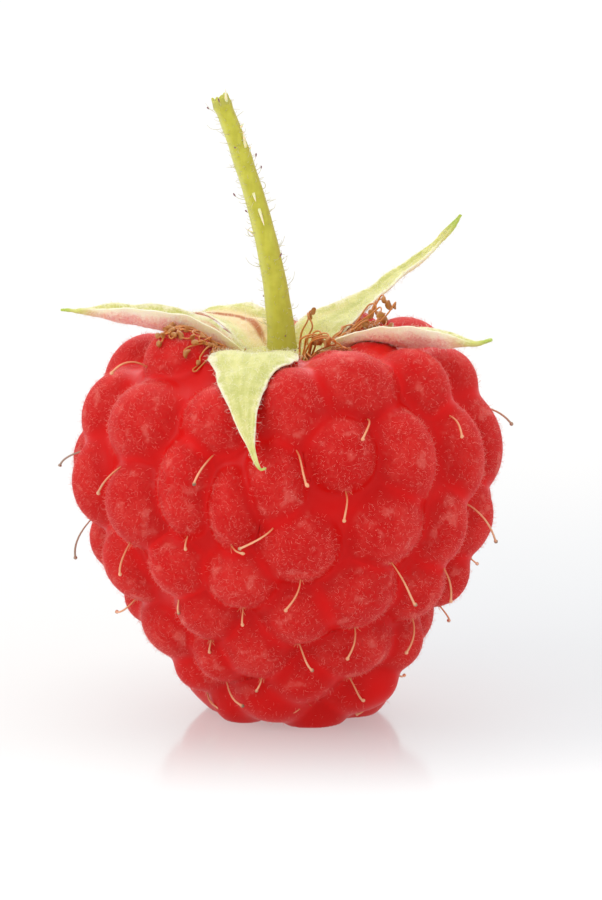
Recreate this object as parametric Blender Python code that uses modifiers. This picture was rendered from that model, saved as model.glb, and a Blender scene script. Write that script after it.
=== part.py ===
"""A ripe raspberry as picked, with its calyx and a length of stem, standing on its blunt tip.

Metres, +Z up.  The origin is the middle of the flat foot that the lowest drupelets rest on.
The berry's own axis leans a little from +Z towards -X; everything but the foot leans with it.
"""
import math
import random

import bmesh
import bpy
from mathutils import Matrix, Vector

MM = 0.001

# ---------------------------------------------------------------- driving dimensions
FRUIT_RADIUS = 11.1 * MM          # over the drupelets, at the widest row
FRUIT_HEIGHT = 18.6 * MM          # foot to the centres of the highest drupelets
DRUPELET_DEPTH = 1.9 * MM         # a drupelet's centre to its outermost point
DRUPELET_SWELL = 1.1              # drupelet size over the size of its free dome
BODY_RISE = 0.55 * MM             # the body that joins the drupelets, outside their centres
INNER_DRUPELET = 2.6 * MM         # the small drupelets round the calyx
INNER_DEPTH = INNER_DRUPELET / 2
LEAN = math.radians(2.4)          # the berry's axis from upright, towards -X

CALYX_RADIUS = 2.4 * MM           # the disc that carries the sepals, the stamens and the stem
CALYX_THICKNESS = 0.5 * MM
CALYX_SINK = 0.7 * MM             # the hollow in the top of the fruit, below the crown's centres
CALYX_SEAT = FRUIT_HEIGHT - CALYX_SINK
SEAT_CLEARANCE = 1.0 * MM         # the hollow's radius beyond the disc
JOIN_GAP = 0.04 * MM              # between pieces that grow out of each other

STEM_LENGTH = 13.4 * MM
STEM_RADIUS = 0.62 * MM           # just above the flare
STEM_TOP_RADIUS = 0.44 * MM
STEM_FLARE = 0.14 * MM            # extra radius where the stem leaves the calyx
STEM_FLARE_HEIGHT = 1.0 * MM
STEM_SWEEP = 2.6 * MM             # the stem's top to the side of the berry's axis
STEM_STRAIGHT = 0.45              # share of the stem's height that its first half aims along

SEPAL_THICKNESS = 0.26 * MM
STYLE_RADIUS = 0.06 * MM
STIGMA_RADIUS = 0.11 * MM
STYLE_ANGLE = math.radians(52)    # from a drupelet's pole down to where its style leaves it
LONG_STYLE = 1.6                  # mm; shorter stubs of styles are left to the finish
FILAMENT_RADIUS = 0.06 * MM
ANTHER_RADIUS = 0.2 * MM

# The rows of drupelet centres, from the tip to the calyx, as shares of the centre line's
# largest radius and of the fruit's height.
ROWS = [(0.0, 0.08), (0.335, 0.07), (0.52, 0.14), (0.67, 0.258), (0.815, 0.387), (0.935, 0.516),
        (1.0, 0.667), (0.967, 0.806), (0.815, 0.93), (0.61, 1.0), (0.445, 0.955)]

# The front of the berry: row, azimuth in degrees (0 faces -Y, 90 faces +X), free width and
# height of the drupelet in mm, and its style as heading in degrees (0 down, 90 towards +X),
# length in mm and curl, or None where the style has fallen.
FRONT_DRUPELETS = [
    (9.0, -66, 3.7, 3.3, (-70, 2.2, 0.3)), (8.3, 28, 4.4, 3.8, (5, 1.9, 0.6)),
    (8.0, 59, 3.2, 3.7, (25, 2.3, 0.5)), (7.7, 92, 3.4, 3.4, (60, 2.6, 0.2)),
    (7.4, -94, 3.8, 4.1, (-40, 2.4, 0.3)), (7.5, -54, 4.7, 4.0, (-50, 2.1, 0.4)),
    (7.7, -22, 3.6, 3.5, (-20, 2.0, 0.5)), (7.9, 3, 3.4, 4.2, (15, 2.3, 0.6)),
    (7.0, 17, 3.3, 3.4, (-5, 1.6, 0.4)), (6.8, 39, 3.2, 4.3, (-15, 0.9, 0.2)),
    (6.6, 63, 3.2, 4.8, (50, 2.6, 0.5)), (6.5, 86, 3.6, 4.8, (30, 1.4, 0.3)),
    (6.3, -99, 3.4, 3.8, None), (6.1, -79, 3.3, 4.2, (-35, 2.2, 0.3)),
    (6.0, -51, 3.7, 4.1, (-15, 1.8, 0.4)), (6.45, -31, 2.9, 4.4, None),
    (6.1, -16, 2.3, 3.8, (75, 0.8, 0.2)), (6.6, -3, 2.8, 3.8, (-60, 2.4, 0.9)),
    (5.5, 31, 3.7, 3.6, (40, 2.5, 0.8)), (5.35, 54, 3.2, 4.1, (20, 2.2, 0.4)),
    (5.2, 77, 3.2, 4.0, (45, 1.3, 0.3)), (4.9, -92, 3.0, 3.4, (-60, 1.8, 0.3)),
    (4.7, -69, 3.5, 3.9, (-75, 1.6, 0.3)), (5.0, -38, 3.2, 3.2, (-10, 0.9, 0.2)),
    (4.85, -16, 3.4, 3.3, (-5, 0.9, 0.2)), (5.35, 3, 3.6, 3.4, (-35, 1.9, 0.9)),
    (4.35, 23, 4.1, 4.0, (-15, 1.8, 0.4)), (4.2, 51, 3.4, 3.7, (-10, 1.9, 0.3)),
    (4.1, 76, 2.9, 3.4, (70, 1.3, 0.8)), (3.7, -92, 3.0, 3.0, None),
    (3.3, -69, 4.2, 3.6, (-20, 0.9, 0.3)), (4.05, -33, 3.4, 3.4, (-20, 0.8, 0.2)),
    (2.9, -37, 2.9, 3.1, None), (3.2, -16, 3.6, 3.8, (-30, 0.9, 0.3)),
    (4.0, 2, 3.5, 3.5, (10, 1.7, 0.2)), (3.0, 27, 4.3, 3.4, (55, 2.3, 1.2)),
    (2.8, 66, 3.4, 3.3, (45, 1.2, 0.5)), (2.2, -70, 3.8, 3.1, None),
    (2.1, 80, 3.3, 3.0, None), (2.4, 4, 3.5, 3.1, (-60, 1.1, 0.7)),
    (1.7, -16, 3.8, 3.2, None), (1.3, -55, 3.3, 3.1, None),
    (1.8, 44, 3.8, 3.1, None), (1.0, 18, 3.6, 3.0, None),
]
# The back of the berry, in even rows: row, first and last azimuth, and how many.
BACK_ROWS = [(8.3, 116, 254, 5), (7.5, 116, 243, 6), (6.4, 109, 241, 7), (5.1, 101, 245, 7),
             (3.95, 104, 242, 6), (2.75, 106, 250, 5), (1.7, 124, 262, 4), (1.0, 84, 262, 4)]
BACK_DRUPELET = 3.7 * MM
INNER_ROW = 9.7
INNER_COUNT = 11

# Each sepal's azimuth, its fold (+ cups upwards, - hangs over), its widest place's half width
# in mm, and its centre line as row of the berry below it, height over the drupelets in mm and
# sideways drift in mm.
SEPALS = {
    "sepal_front": (-11, -0.08, 2.2, [(9.9, 0.4, 0.0), (9.4, 0.0, 0.0), (8.85, 0.1, 0.0),
                    (8.5, 0.35, -0.1), (8.1, 0.5, -0.2), (7.7, 0.5, -0.3), (7.3, 0.45, -0.1),
                    (6.8, 0.45, 0.3)]),
    "sepal_left": (-88, 0.40, 1.5, [(9.9, 0.9, 0.0), (9.5, 0.7, 0.0), (9.0, 1.05, 0.0),
                   (8.7, 1.4, 0.0), (8.45, 2.4, -0.1), (8.2, 3.6, -0.2)]),
    "sepal_back_left": (-146, 0.25, 1.7, [(9.9, 0.7, 0.0), (9.3, 0.2, 0.0), (8.8, 0.4, 0.1),
                        (8.4, 0.7, 0.2), (8.0, 0.9, 0.3), (7.6, 1.0, 0.3)]),
    "sepal_back_right": (129, 0.30, 1.45, [(9.9, 0.6, 0.0), (9.3, 0.15, 0.0), (8.75, 1.1, 0.0),
                         (8.5, 2.6, 0.1), (8.4, 4.4, 0.0), (8.35, 6.0, -0.3)]),
    "sepal_right": (75, 0.40, 1.45, [(9.9, 0.6, 0.0), (9.3, 0.15, 0.0), (8.75, 0.3, 0.0),
                    (8.4, 0.55, 0.0), (8.1, 1.1, 0.1), (7.8, 2.2, 0.3)]),
}
SEPAL_BASE = 0.58                 # half width at the calyx, over the widest half width
SEPAL_STEPS = 12                  # along a sepal
SEPAL_COLUMNS = 4                 # across it

# The stamens stand in the gaps between the sepals: each cluster's azimuth, spread and count.
STAMEN_CLUSTERS = [(-50, 22, 5), (32, 30, 6), (102, 4, 2), (167, 26, 5), (-117, 5, 2)]

# ---------------------------------------------------------------- the scene
for old in list(bpy.data.objects):
    bpy.data.objects.remove(old, do_unlink=True)

model = bpy.data.collections.new("raspberry")
bpy.context.scene.collection.children.link(model)
cutters = bpy.data.collections.new("cutters")
bpy.context.scene.collection.children.link(cutters)

berry_axis = bpy.data.objects.new("berry_axis", None)
berry_axis.rotation_euler = (0.0, -LEAN, 0.0)
model.objects.link(berry_axis)


def material(name, colour, roughness):
    """A plain Principled finish."""
    mat = bpy.data.materials.new(name)
    mat.use_nodes = True
    shader = mat.node_tree.nodes["Principled BSDF"]
    shader.inputs["Base Color"].default_value = (*colour, 1.0)
    shader.inputs["Roughness"].default_value = roughness
    shader.inputs["Metallic"].default_value = 0.0
    return mat


FRUIT_FLESH = material("fruit_flesh", (0.62, 0.02, 0.025), 0.4)
SEPAL_GREEN = material("sepal_felt", (0.62, 0.66, 0.30), 0.8)
STEM_GREEN = material("stem_skin", (0.42, 0.45, 0.07), 0.5)
STYLE_TAN = material("style_thread", (0.62, 0.30, 0.12), 0.6)
STAMEN_BROWN = material("stamen_thread", (0.42, 0.18, 0.05), 0.7)


def link(obj, mat, smooth=True):
    """Put a finished piece in the model, on the leaning axis."""
    model.objects.link(obj)
    obj.parent = berry_axis
    obj.data.materials.append(mat)
    if smooth and obj.type == "MESH":
        obj.data.shade_smooth()
    return obj


# ---------------------------------------------------------------- the berry's surface
CENTRE_RADIUS = FRUIT_RADIUS - DRUPELET_DEPTH


def row_point(row):
    """Radius and height of the drupelets' centre line at a row, between rows too."""
    low = min(int(row), len(ROWS) - 2)
    share = row - low
    radius = ROWS[low][0] + (ROWS[low + 1][0] - ROWS[low][0]) * share
    height = ROWS[low][1] + (ROWS[low + 1][1] - ROWS[low][1]) * share
    return radius * CENTRE_RADIUS, height * FRUIT_HEIGHT


def berry_frame(row, azimuth):
    """Centre, outward, sideways and downward directions at a row and azimuth in degrees."""
    before = row_point(max(row - 0.7, 0.0))
    after = row_point(min(row + 0.7, len(ROWS) - 1.0))
    along = Vector((after[0] - before[0], after[1] - before[1])).normalized()
    angle = math.radians(azimuth)
    radial = Vector((math.sin(angle), -math.cos(angle), 0.0))
    up = Vector((0.0, 0.0, 1.0))
    radius, height = row_point(row)
    centre = radial * radius + up * height
    outward = radial * along.y - up * along.x
    sideways = Vector((math.cos(angle), math.sin(angle), 0.0))
    return centre, outward, sideways, sideways.cross(outward)


def berry_point(row, azimuth, lift, drift=0.0):
    """A point at a height over the outermost points of the drupelets at that row."""
    centre, outward, sideways, _ = berry_frame(row, azimuth)
    depth = DRUPELET_DEPTH if row < INNER_ROW else INNER_DEPTH
    return centre + outward * (depth + lift) + sideways * drift


# ---------------------------------------------------------------- fruit
def drupelet_list():
    """Every drupelet: row, azimuth, half width, half height, depth and style."""
    drupelets = []
    for row, azimuth, width, tall, style in FRONT_DRUPELETS:
        drupelets.append((row, azimuth, width * MM / 2, tall * MM / 2, DRUPELET_DEPTH, style))
    vary = random.Random(5)
    for row, first, last, count in BACK_ROWS:
        for i in range(count):
            azimuth = first + (last - first) * i / (count - 1) + vary.uniform(-3.0, 3.0)
            place = row + vary.uniform(-0.12, 0.12)
            half_width = BACK_DRUPELET / 2 * vary.uniform(0.94, 1.08)
            half_height = BACK_DRUPELET / 2 * vary.uniform(0.94, 1.08)
            drupelets.append((place, azimuth, half_width, half_height, DRUPELET_DEPTH, None))
    for i in range(INNER_COUNT):
        azimuth = 360.0 * i / INNER_COUNT
        drupelets.append((INNER_ROW, azimuth, INNER_DEPTH, INNER_DEPTH, INNER_DEPTH, None))
    half = BACK_DRUPELET / 2
    drupelets.append((0.0, 0.0, half, half, half, None))
    return drupelets


def add_drupelet(mesh, row, azimuth, half_width, half_height, depth):
    """One drupelet, an ellipsoid with its pole on the outside."""
    centre, outward, sideways, down = berry_frame(row, azimuth)
    axes = Matrix((down * half_height * DRUPELET_SWELL,
                   sideways * half_width * DRUPELET_SWELL,
                   outward * depth)).transposed()
    place = Matrix.Translation(centre) @ axes.to_4x4()
    bmesh.ops.create_uvsphere(mesh, u_segments=10, v_segments=6, radius=1.0, matrix=place)


def clear_groups(drupelets):
    """The drupelets in groups whose members don't touch each other, so each union is a clean one."""
    groups = []
    for row, azimuth, half_width, half_height, depth, _ in drupelets:
        centre = berry_frame(row, azimuth)[0]
        reach = max(half_width * DRUPELET_SWELL, half_height * DRUPELET_SWELL, depth)
        member = (row, azimuth, half_width, half_height, depth)
        for group in groups:
            if all((centre - other).length > reach + far for other, far, _ in group):
                group.append((centre, reach, member))
                break
        else:
            groups.append([(centre, reach, member)])
    return [[member for _, _, member in group] for group in groups]


def cutter(name, mesh):
    """A tool object for a Boolean, out of sight."""
    data = bpy.data.meshes.new(name)
    mesh.to_mesh(data)
    mesh.free()
    obj = bpy.data.objects.new(name, data)
    obj.hide_render = True
    obj.display_type = "WIRE"
    cutters.objects.link(obj)
    return obj


def boolean(obj, operation, other):
    """A Boolean that stays on the object; both meshes are closed, as this solver needs."""
    step = obj.modifiers.new(other.name, "BOOLEAN")
    step.operation = operation
    step.object = other
    step.solver = "MANIFOLD"


def turned(name, outline, steps):
    """A turned body from its outline, given from the top down its outer side."""
    profile = bpy.data.meshes.new(name)
    points = [(radius, 0.0, height) for radius, height in outline]
    profile.from_pydata(points, [(i, i + 1) for i in range(len(points) - 1)], [])
    body = bpy.data.objects.new(name, profile)
    turn = body.modifiers.new("turned", "SCREW")
    turn.steps = turn.render_steps = steps
    turn.use_merge_vertices = True
    turn.merge_threshold = 0.00001
    return body


def make_fruit(drupelets):
    """The drupelets grown together over one body, hollowed for the calyx, flat at the foot."""
    outline = [(0.0, CALYX_SEAT - DRUPELET_DEPTH)]
    for row in range(len(ROWS) - 2, 0, -1):
        radius, height = row_point(row)
        outline.append((radius + BODY_RISE, height))
    outline.append((0.0, row_point(1)[1]))
    fruit = link(turned("fruit", outline, 18), FRUIT_FLESH)

    for number, group in enumerate(clear_groups(drupelets), start=1):
        mesh = bmesh.new()
        for row, azimuth, half_width, half_height, depth in group:
            add_drupelet(mesh, row, azimuth, half_width, half_height, depth)
        cluster = cutter(f"drupelets_{number}", mesh)
        cluster.parent = berry_axis
        boolean(fruit, "UNION", cluster)

    block = 4 * FRUIT_RADIUS
    mesh = bmesh.new()
    bmesh.ops.create_cube(mesh, size=block, matrix=Matrix.Translation((0, 0, -block / 2)))
    boolean(fruit, "DIFFERENCE", cutter("foot_cutter", mesh))

    radius = CALYX_RADIUS + SEAT_CLEARANCE
    place = Matrix.Translation((0, 0, CALYX_SEAT + FRUIT_HEIGHT / 2))
    mesh = bmesh.new()
    bmesh.ops.create_cone(mesh, cap_ends=True, segments=24, radius1=radius, radius2=radius,
                          depth=FRUIT_HEIGHT, matrix=place)
    seat = cutter("calyx_seat_cutter", mesh)
    seat.parent = berry_axis
    boolean(fruit, "DIFFERENCE", seat)


# ---------------------------------------------------------------- calyx and stem
def make_calyx_disc():
    """The shallow disc under the stem, turned, on the seat in the fruit."""
    bottom = CALYX_SEAT + JOIN_GAP
    top = bottom + CALYX_THICKNESS
    outline = [(0.0, top), (CALYX_RADIUS * 0.8, top), (CALYX_RADIUS, top - CALYX_THICKNESS * 0.3),
               (CALYX_RADIUS, bottom + CALYX_THICKNESS * 0.2), (CALYX_RADIUS * 0.9, bottom),
               (0.0, bottom)]
    disc = turned("calyx_disc", outline, 20)
    link(disc, SEPAL_GREEN, smooth=False)
    return top


def thread(name, points, radii, mat, sides=1):
    """A round thread through the points, with its own radius at each."""
    curve = bpy.data.curves.new(name, "CURVE")
    curve.dimensions = "3D"
    curve.bevel_depth = max(radii)
    curve.bevel_resolution = sides
    curve.use_fill_caps = True
    spline = curve.splines.new("POLY")
    spline.points.add(len(points) - 1)
    for spot, point, radius in zip(spline.points, points, radii):
        spot.co = (*point, 1.0)
        spot.radius = radius / curve.bevel_depth
    return link(bpy.data.objects.new(name, curve), mat)


def bend(start, middle, end, count):
    """Points along a quadratic curve."""
    steps = [i / (count - 1) for i in range(count)]
    return [start * (1 - t) ** 2 + middle * 2 * t * (1 - t) + end * t ** 2 for t in steps]


def make_stem(calyx_top):
    """The stem, flared where it leaves the calyx and swept to one side."""
    foot = Vector((0.0, 0.0, calyx_top + JOIN_GAP))
    knee = foot + Vector((0.0, 0.0, STEM_LENGTH * STEM_STRAIGHT))
    tip = foot + Vector((-STEM_SWEEP, 0.0, STEM_LENGTH))
    points = bend(foot, knee, tip, 14)
    radii = []
    for i in range(len(points)):
        share = i / (len(points) - 1)
        flare = STEM_FLARE * math.exp(-share * STEM_LENGTH / STEM_FLARE_HEIGHT)
        radii.append(STEM_RADIUS + (STEM_TOP_RADIUS - STEM_RADIUS) * share + flare)
    thread("peduncle", points, radii, STEM_GREEN, sides=3)


# ---------------------------------------------------------------- sepals
def smooth_path(points, count):
    """Points along a Catmull-Rom curve through the given points."""
    ends = [points[0] * 2 - points[1]] + points + [points[-1] * 2 - points[-2]]
    path = []
    for i in range(count):
        place = (len(points) - 1) * i / (count - 1)
        low = min(int(place), len(points) - 2)
        t = place - low
        a, b, c, d = ends[low:low + 4]
        path.append((b * 2 + (c - a) * t + (a * 2 - b * 5 + c * 4 - d) * t * t
                     + (b * 3 - a - c * 3 + d) * t ** 3) * 0.5)
    return path


def make_sepal(name, azimuth, fold, half_width, stations, calyx_top):
    """A pointed sepal: a strip along its centre line, folded along its middle, given a wall."""
    angle = math.radians(azimuth)
    radial = Vector((math.sin(angle), -math.cos(angle), 0.0))
    sideways = Vector((math.cos(angle), math.sin(angle), 0.0))
    root = radial * (CALYX_RADIUS + JOIN_GAP)
    root.z = calyx_top - CALYX_THICKNESS / 2 + SEPAL_THICKNESS / 2
    line = [root] + [berry_point(row, azimuth, lift * MM, drift * MM)
                     for row, lift, drift in stations]
    path = smooth_path(line, SEPAL_STEPS + 1)

    mesh = bmesh.new()
    bmesh.ops.create_grid(mesh, x_segments=SEPAL_STEPS, y_segments=SEPAL_COLUMNS, size=1.0)
    for vert in mesh.verts:
        step = round((vert.co.x + 1) / 2 * SEPAL_STEPS)
        across = vert.co.y
        share = step / SEPAL_STEPS
        ahead = (path[min(step + 1, SEPAL_STEPS)] - path[max(step - 1, 0)]).normalized()
        normal = ahead.cross(sideways).normalized()
        swell = SEPAL_BASE + (1 - SEPAL_BASE) * math.sin(min(share / 0.32, 1.0) * math.pi / 2)
        taper = 1.0 if share < 0.32 else max(1 - ((share - 0.32) / 0.68) ** 0.85, 0.07)
        half = half_width * MM * swell * taper
        lift = fold * half * across * across * 2 * min(share * 4, 1.0)
        vert.co = path[step] + sideways * across * half + normal * lift
    sheet = bpy.data.meshes.new(name)
    mesh.to_mesh(sheet)
    mesh.free()
    sepal = bpy.data.objects.new(name, sheet)
    wall = sepal.modifiers.new("wall", "SOLIDIFY")
    wall.thickness = SEPAL_THICKNESS
    wall.offset = 0.0
    link(sepal, SEPAL_GREEN)


# ---------------------------------------------------------------- styles and stamens
def make_style(number, row, azimuth, half_height, depth, style):
    """The dried style that hangs from the lower side of a drupelet, with its stigma."""
    heading, length, curl = style
    centre, outward, sideways, down = berry_frame(row, azimuth)
    root = centre + outward * depth * math.cos(STYLE_ANGLE)
    root += down * half_height * DRUPELET_SWELL * math.sin(STYLE_ANGLE)
    turn = math.radians(heading)
    away = down * math.cos(turn) + sideways * math.sin(turn)
    first = (outward * 0.8 + down * 0.35 + away * 0.35).normalized()
    last = (away - outward * 0.25 * curl).normalized()
    half_length = length * MM / 2
    points = bend(root, root + first * half_length, root + (first + last) * half_length, 7)
    radii = [STYLE_RADIUS] * (len(points) - 1) + [STIGMA_RADIUS]
    thread(f"style_{number:02d}", points, radii, STYLE_TAN)


def make_stamen(number, azimuth, aside):
    """A dried stamen from the rim of the calyx disc, over the crown, with its anther."""
    reach = 0.5 + 0.5 * math.sin(number * 2.4)
    angle = math.radians(azimuth)
    root = Vector((math.sin(angle), -math.cos(angle), 0.0)) * CALYX_RADIUS * 0.9
    root.z = CALYX_SEAT + CALYX_THICKNESS + 2 * JOIN_GAP
    over = berry_point(9.8, azimuth + aside * 0.4, (1.6 + 0.7 * reach) * MM)
    end = berry_point(9.3 - 0.7 * reach, azimuth + aside, (0.7 + 0.5 * reach) * MM)
    points = bend(root, over, end, 8)
    radii = [FILAMENT_RADIUS] * (len(points) - 3) + [ANTHER_RADIUS] * 2 + [ANTHER_RADIUS / 2]
    thread(f"stamen_{number:02d}", points, radii, STAMEN_BROWN)


# ---------------------------------------------------------------- assembly
all_drupelets = drupelet_list()
make_fruit(all_drupelets)
disc_top = make_calyx_disc()
make_stem(disc_top)
for sepal_name, (azimuth, fold, half_width, stations) in SEPALS.items():
    make_sepal(sepal_name, azimuth, fold, half_width, stations, disc_top)

long_styles = [d for d in all_drupelets if d[5] and d[5][1] >= LONG_STYLE]
for count, (row, azimuth, _, half_height, depth, style) in enumerate(long_styles, start=1):
    make_style(count, row, azimuth, half_height, depth, style)

stamen_count = 0
for cluster_azimuth, cluster_spread, cluster_size in STAMEN_CLUSTERS:
    for i in range(cluster_size):
        stamen_count += 1
        aside = cluster_spread * (i / (cluster_size - 1) - 0.5)
        make_stamen(stamen_count, cluster_azimuth + aside, aside * 0.3)
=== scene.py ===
"""A ripe raspberry with its calyx and stem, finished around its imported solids."""
import math
import random

import bmesh
import bpy
import numpy as np
from mathutils import Matrix, Vector


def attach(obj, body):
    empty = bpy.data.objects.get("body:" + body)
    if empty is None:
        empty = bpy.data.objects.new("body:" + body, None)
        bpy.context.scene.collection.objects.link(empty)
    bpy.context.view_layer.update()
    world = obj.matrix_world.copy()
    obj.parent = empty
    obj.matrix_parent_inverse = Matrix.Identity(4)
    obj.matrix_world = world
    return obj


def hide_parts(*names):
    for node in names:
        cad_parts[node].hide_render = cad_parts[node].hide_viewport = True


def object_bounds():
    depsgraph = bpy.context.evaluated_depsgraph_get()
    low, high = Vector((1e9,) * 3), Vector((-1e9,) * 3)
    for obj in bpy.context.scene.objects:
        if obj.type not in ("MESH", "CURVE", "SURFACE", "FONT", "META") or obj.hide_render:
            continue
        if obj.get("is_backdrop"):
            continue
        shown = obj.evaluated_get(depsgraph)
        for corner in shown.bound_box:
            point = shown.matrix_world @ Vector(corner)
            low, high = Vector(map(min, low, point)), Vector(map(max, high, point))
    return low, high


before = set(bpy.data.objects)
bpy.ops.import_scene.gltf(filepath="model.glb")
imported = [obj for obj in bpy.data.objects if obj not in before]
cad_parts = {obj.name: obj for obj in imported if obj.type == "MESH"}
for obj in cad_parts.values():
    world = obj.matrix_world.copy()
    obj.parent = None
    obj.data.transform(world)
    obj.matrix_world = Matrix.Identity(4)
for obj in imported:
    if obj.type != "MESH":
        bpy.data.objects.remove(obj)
cad_low, cad_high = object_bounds()

# ---------------------------------------------------------------- camera and white table
# A long lens a little above the berry, and a glossy white table that runs into a white room.
# The light is broad and soft: a large panel from the left, a weaker one from the right, one behind.
MM = 0.001
VIEW_RISE = math.radians(12.0)
VIEW_DISTANCE = 0.35
AIM_SHARE = 0.425                 # the height aimed at, over the whole height
AIM_ASIDE = 0.15 * MM
TABLE_SIZE = 3.0                  # metres from its middle to its edge

camera_data = bpy.data.cameras.new("camera")
camera_data.lens = 276.0
camera_data.sensor_width = 36.0
camera_data.clip_start = 0.01
camera_data.clip_end = 10.0
camera = bpy.data.objects.new("camera", camera_data)
bpy.context.scene.collection.objects.link(camera)
aim = Vector((AIM_ASIDE, 0.0, cad_high.z * AIM_SHARE))
back = Vector((0.0, -math.cos(VIEW_RISE), math.sin(VIEW_RISE)))
camera.location = aim + back * VIEW_DISTANCE
camera.rotation_euler = (-back).to_track_quat("-Z", "Y").to_euler()
bpy.context.scene.camera = camera
bpy.context.scene.view_settings.view_transform = "Standard"


class Value:
    """A socket in an expression: arithmetic on it adds Math nodes to its tree."""

    def __init__(self, recipe, socket):
        self.recipe = recipe
        self.socket = socket

    def maths(self, operation, *others, clamp=False):
        settings = {"operation": operation, "use_clamp": clamp}
        return self.recipe.node("ShaderNodeMath", settings, dict(enumerate(others)))

    def __add__(self, other):
        return self.maths("ADD", self, other)

    def __sub__(self, other):
        return self.maths("SUBTRACT", self, other)

    def __rsub__(self, other):
        return self.maths("SUBTRACT", other, self)

    def __mul__(self, other):
        return self.maths("MULTIPLY", self, other)

    def __truediv__(self, other):
        return self.maths("DIVIDE", self, other)

    def clamped(self):
        return self.maths("ADD", self, 0.0, clamp=True)

    def absolute(self):
        return self.maths("ABSOLUTE", self)

    def out(self, name):
        """Another output of the node that this value comes from."""
        return Value(self.recipe, self.socket.node.outputs[name])

    __radd__ = __add__
    __rmul__ = __mul__


class Recipe:
    """The nodes of one finish or one growth."""

    def __init__(self, tree):
        self.tree = tree

    def node(self, kind, settings=None, sockets=None):
        """A node: its settings are set first, then its sockets get values or links."""
        made = self.tree.nodes.new(kind)
        for name, value in (settings or {}).items():
            setattr(made, name, value)
        for key, value in (sockets or {}).items():
            self.feed(made, key, value)
        shown = [socket for socket in made.outputs if socket.enabled]
        return Value(self, shown[0]) if shown else made

    def feed(self, made, key, value):
        """Link a value to a socket, or set it; the key is the socket's name or its number."""
        if isinstance(key, int):
            socket = made.inputs[key]
        else:
            socket = next(s for s in made.inputs if s.name == key and s.enabled)
        for single in value if isinstance(value, list) else [value]:
            if isinstance(single, Value):
                self.tree.links.new(single.socket, socket)
            else:
                socket.default_value = single

    def mix(self, low, high, share):
        """From one colour to another; each is red, green and blue, or a value."""
        low, high = [end if isinstance(end, Value) else (*end, 1.0) for end in (low, high)]
        settings = {"data_type": "RGBA", "clamp_factor": True}
        return self.node("ShaderNodeMix", settings, {"Factor": share, "A": low, "B": high})

    def attribute(self, name):
        return self.node("ShaderNodeAttribute", {"attribute_name": name}).out("Fac")

    def ramp(self, value, low, high):
        """0 below low, 1 above high, smooth between."""
        settings = {"interpolation_type": "SMOOTHSTEP", "clamp": True}
        return self.node("ShaderNodeMapRange", settings,
                         {"Value": value, "From Min": low, "From Max": high})

    def fade(self, value, low, high):
        """1 below low, 0 above high, smooth between."""
        return 1.0 - self.ramp(value, low, high)

    def noise(self, place, size, detail=2.0, roughness=0.5):
        """Noise from 0 to 1 whose lumps are about this size in metres."""
        return self.node("ShaderNodeTexNoise", None,
                         {"Vector": place, "Scale": 1.0 / size, "Detail": detail,
                          "Roughness": roughness})

    def bump(self, height, strength, distance):
        return self.node("ShaderNodeBump", None,
                         {"Strength": strength, "Distance": distance, "Height": height})


def finish(name, constants, make):
    """A finish: constants go on the shader's own sockets, and make adds what varies."""
    mat = bpy.data.materials.new(name)
    mat.use_nodes = True
    shader = mat.node_tree.nodes["Principled BSDF"]
    for key, value in constants.items():
        shader.inputs[key].default_value = value
    recipe = Recipe(mat.node_tree)
    place = recipe.node("ShaderNodeTexCoord").out("Object")
    for key, value in make(recipe, place).items():
        recipe.feed(shader, key, value)
    return mat


def panel(name, place, size, strength, colour):
    """A square soft light that faces the berry."""
    data = bpy.data.lights.new(name, "AREA")
    data.size = size
    data.energy = strength
    data.color = colour
    light = bpy.data.objects.new(name, data)
    bpy.context.scene.collection.objects.link(light)
    light.location = place
    light.rotation_euler = (Vector(place) - aim).to_track_quat("Z", "Y").to_euler()


panel("left_panel", (-0.32, -0.22, 0.34), 0.30, 0.75, (1.0, 0.985, 0.96))
panel("right_panel", (0.36, -0.16, 0.22), 0.30, 0.1, (0.96, 0.98, 1.0))
panel("rear_panel", (0.0, 0.34, 0.30), 0.34, 0.8, (1.0, 1.0, 1.0))

world = bpy.data.worlds.new("white_room")
bpy.context.scene.world = world
world.use_nodes = True
world.node_tree.nodes["Background"].inputs["Color"].default_value = (1.0, 1.0, 1.0, 1.0)
world.node_tree.nodes["Background"].inputs["Strength"].default_value = 1.0


def white_gloss(recipe, place):
    """White acrylic that shines with painted light: painted shade greyer behind on the right, a
    painted shadow round the berry's foot, brighter and less glossy to the front.
    """
    split = recipe.node("ShaderNodeSeparateXYZ", None, {"Vector": place})
    right, back = split.out("X"), split.out("Y")
    front = recipe.ramp(0.0 - back, 3.0 * MM, 20.0 * MM)
    # Painted shade: a greyer band on the table behind the berry, on the right.
    shade = recipe.ramp(right, -6.0 * MM, 8.0 * MM) * recipe.fade(right, 22.0 * MM, 60.0 * MM)
    shade = shade * recipe.fade(back, 20.0 * MM, 75.0 * MM)
    # The table's colour is emitted light, painted to stand in for how it is lit.
    painted_floor_light = recipe.mix((0.60, 0.59, 0.58), (0.45, 0.465, 0.485), shade)
    # Painted shadow: the table's emitted light is darker close round the berry's foot.
    reach = recipe.node("ShaderNodeVectorMath", {"operation": "LENGTH"}, {0: place}).out("Value")
    painted_floor_light = recipe.mix(painted_floor_light, (0.46, 0.43, 0.43), recipe.fade(reach, 4.0 * MM, 17.0 * MM) * 0.7)
    # Painted light: the table is brighter towards the front.
    return {"Emission Color": recipe.mix(painted_floor_light, (0.72, 0.72, 0.72), front),
            "Coat Weight": 1.0 - front}


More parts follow.
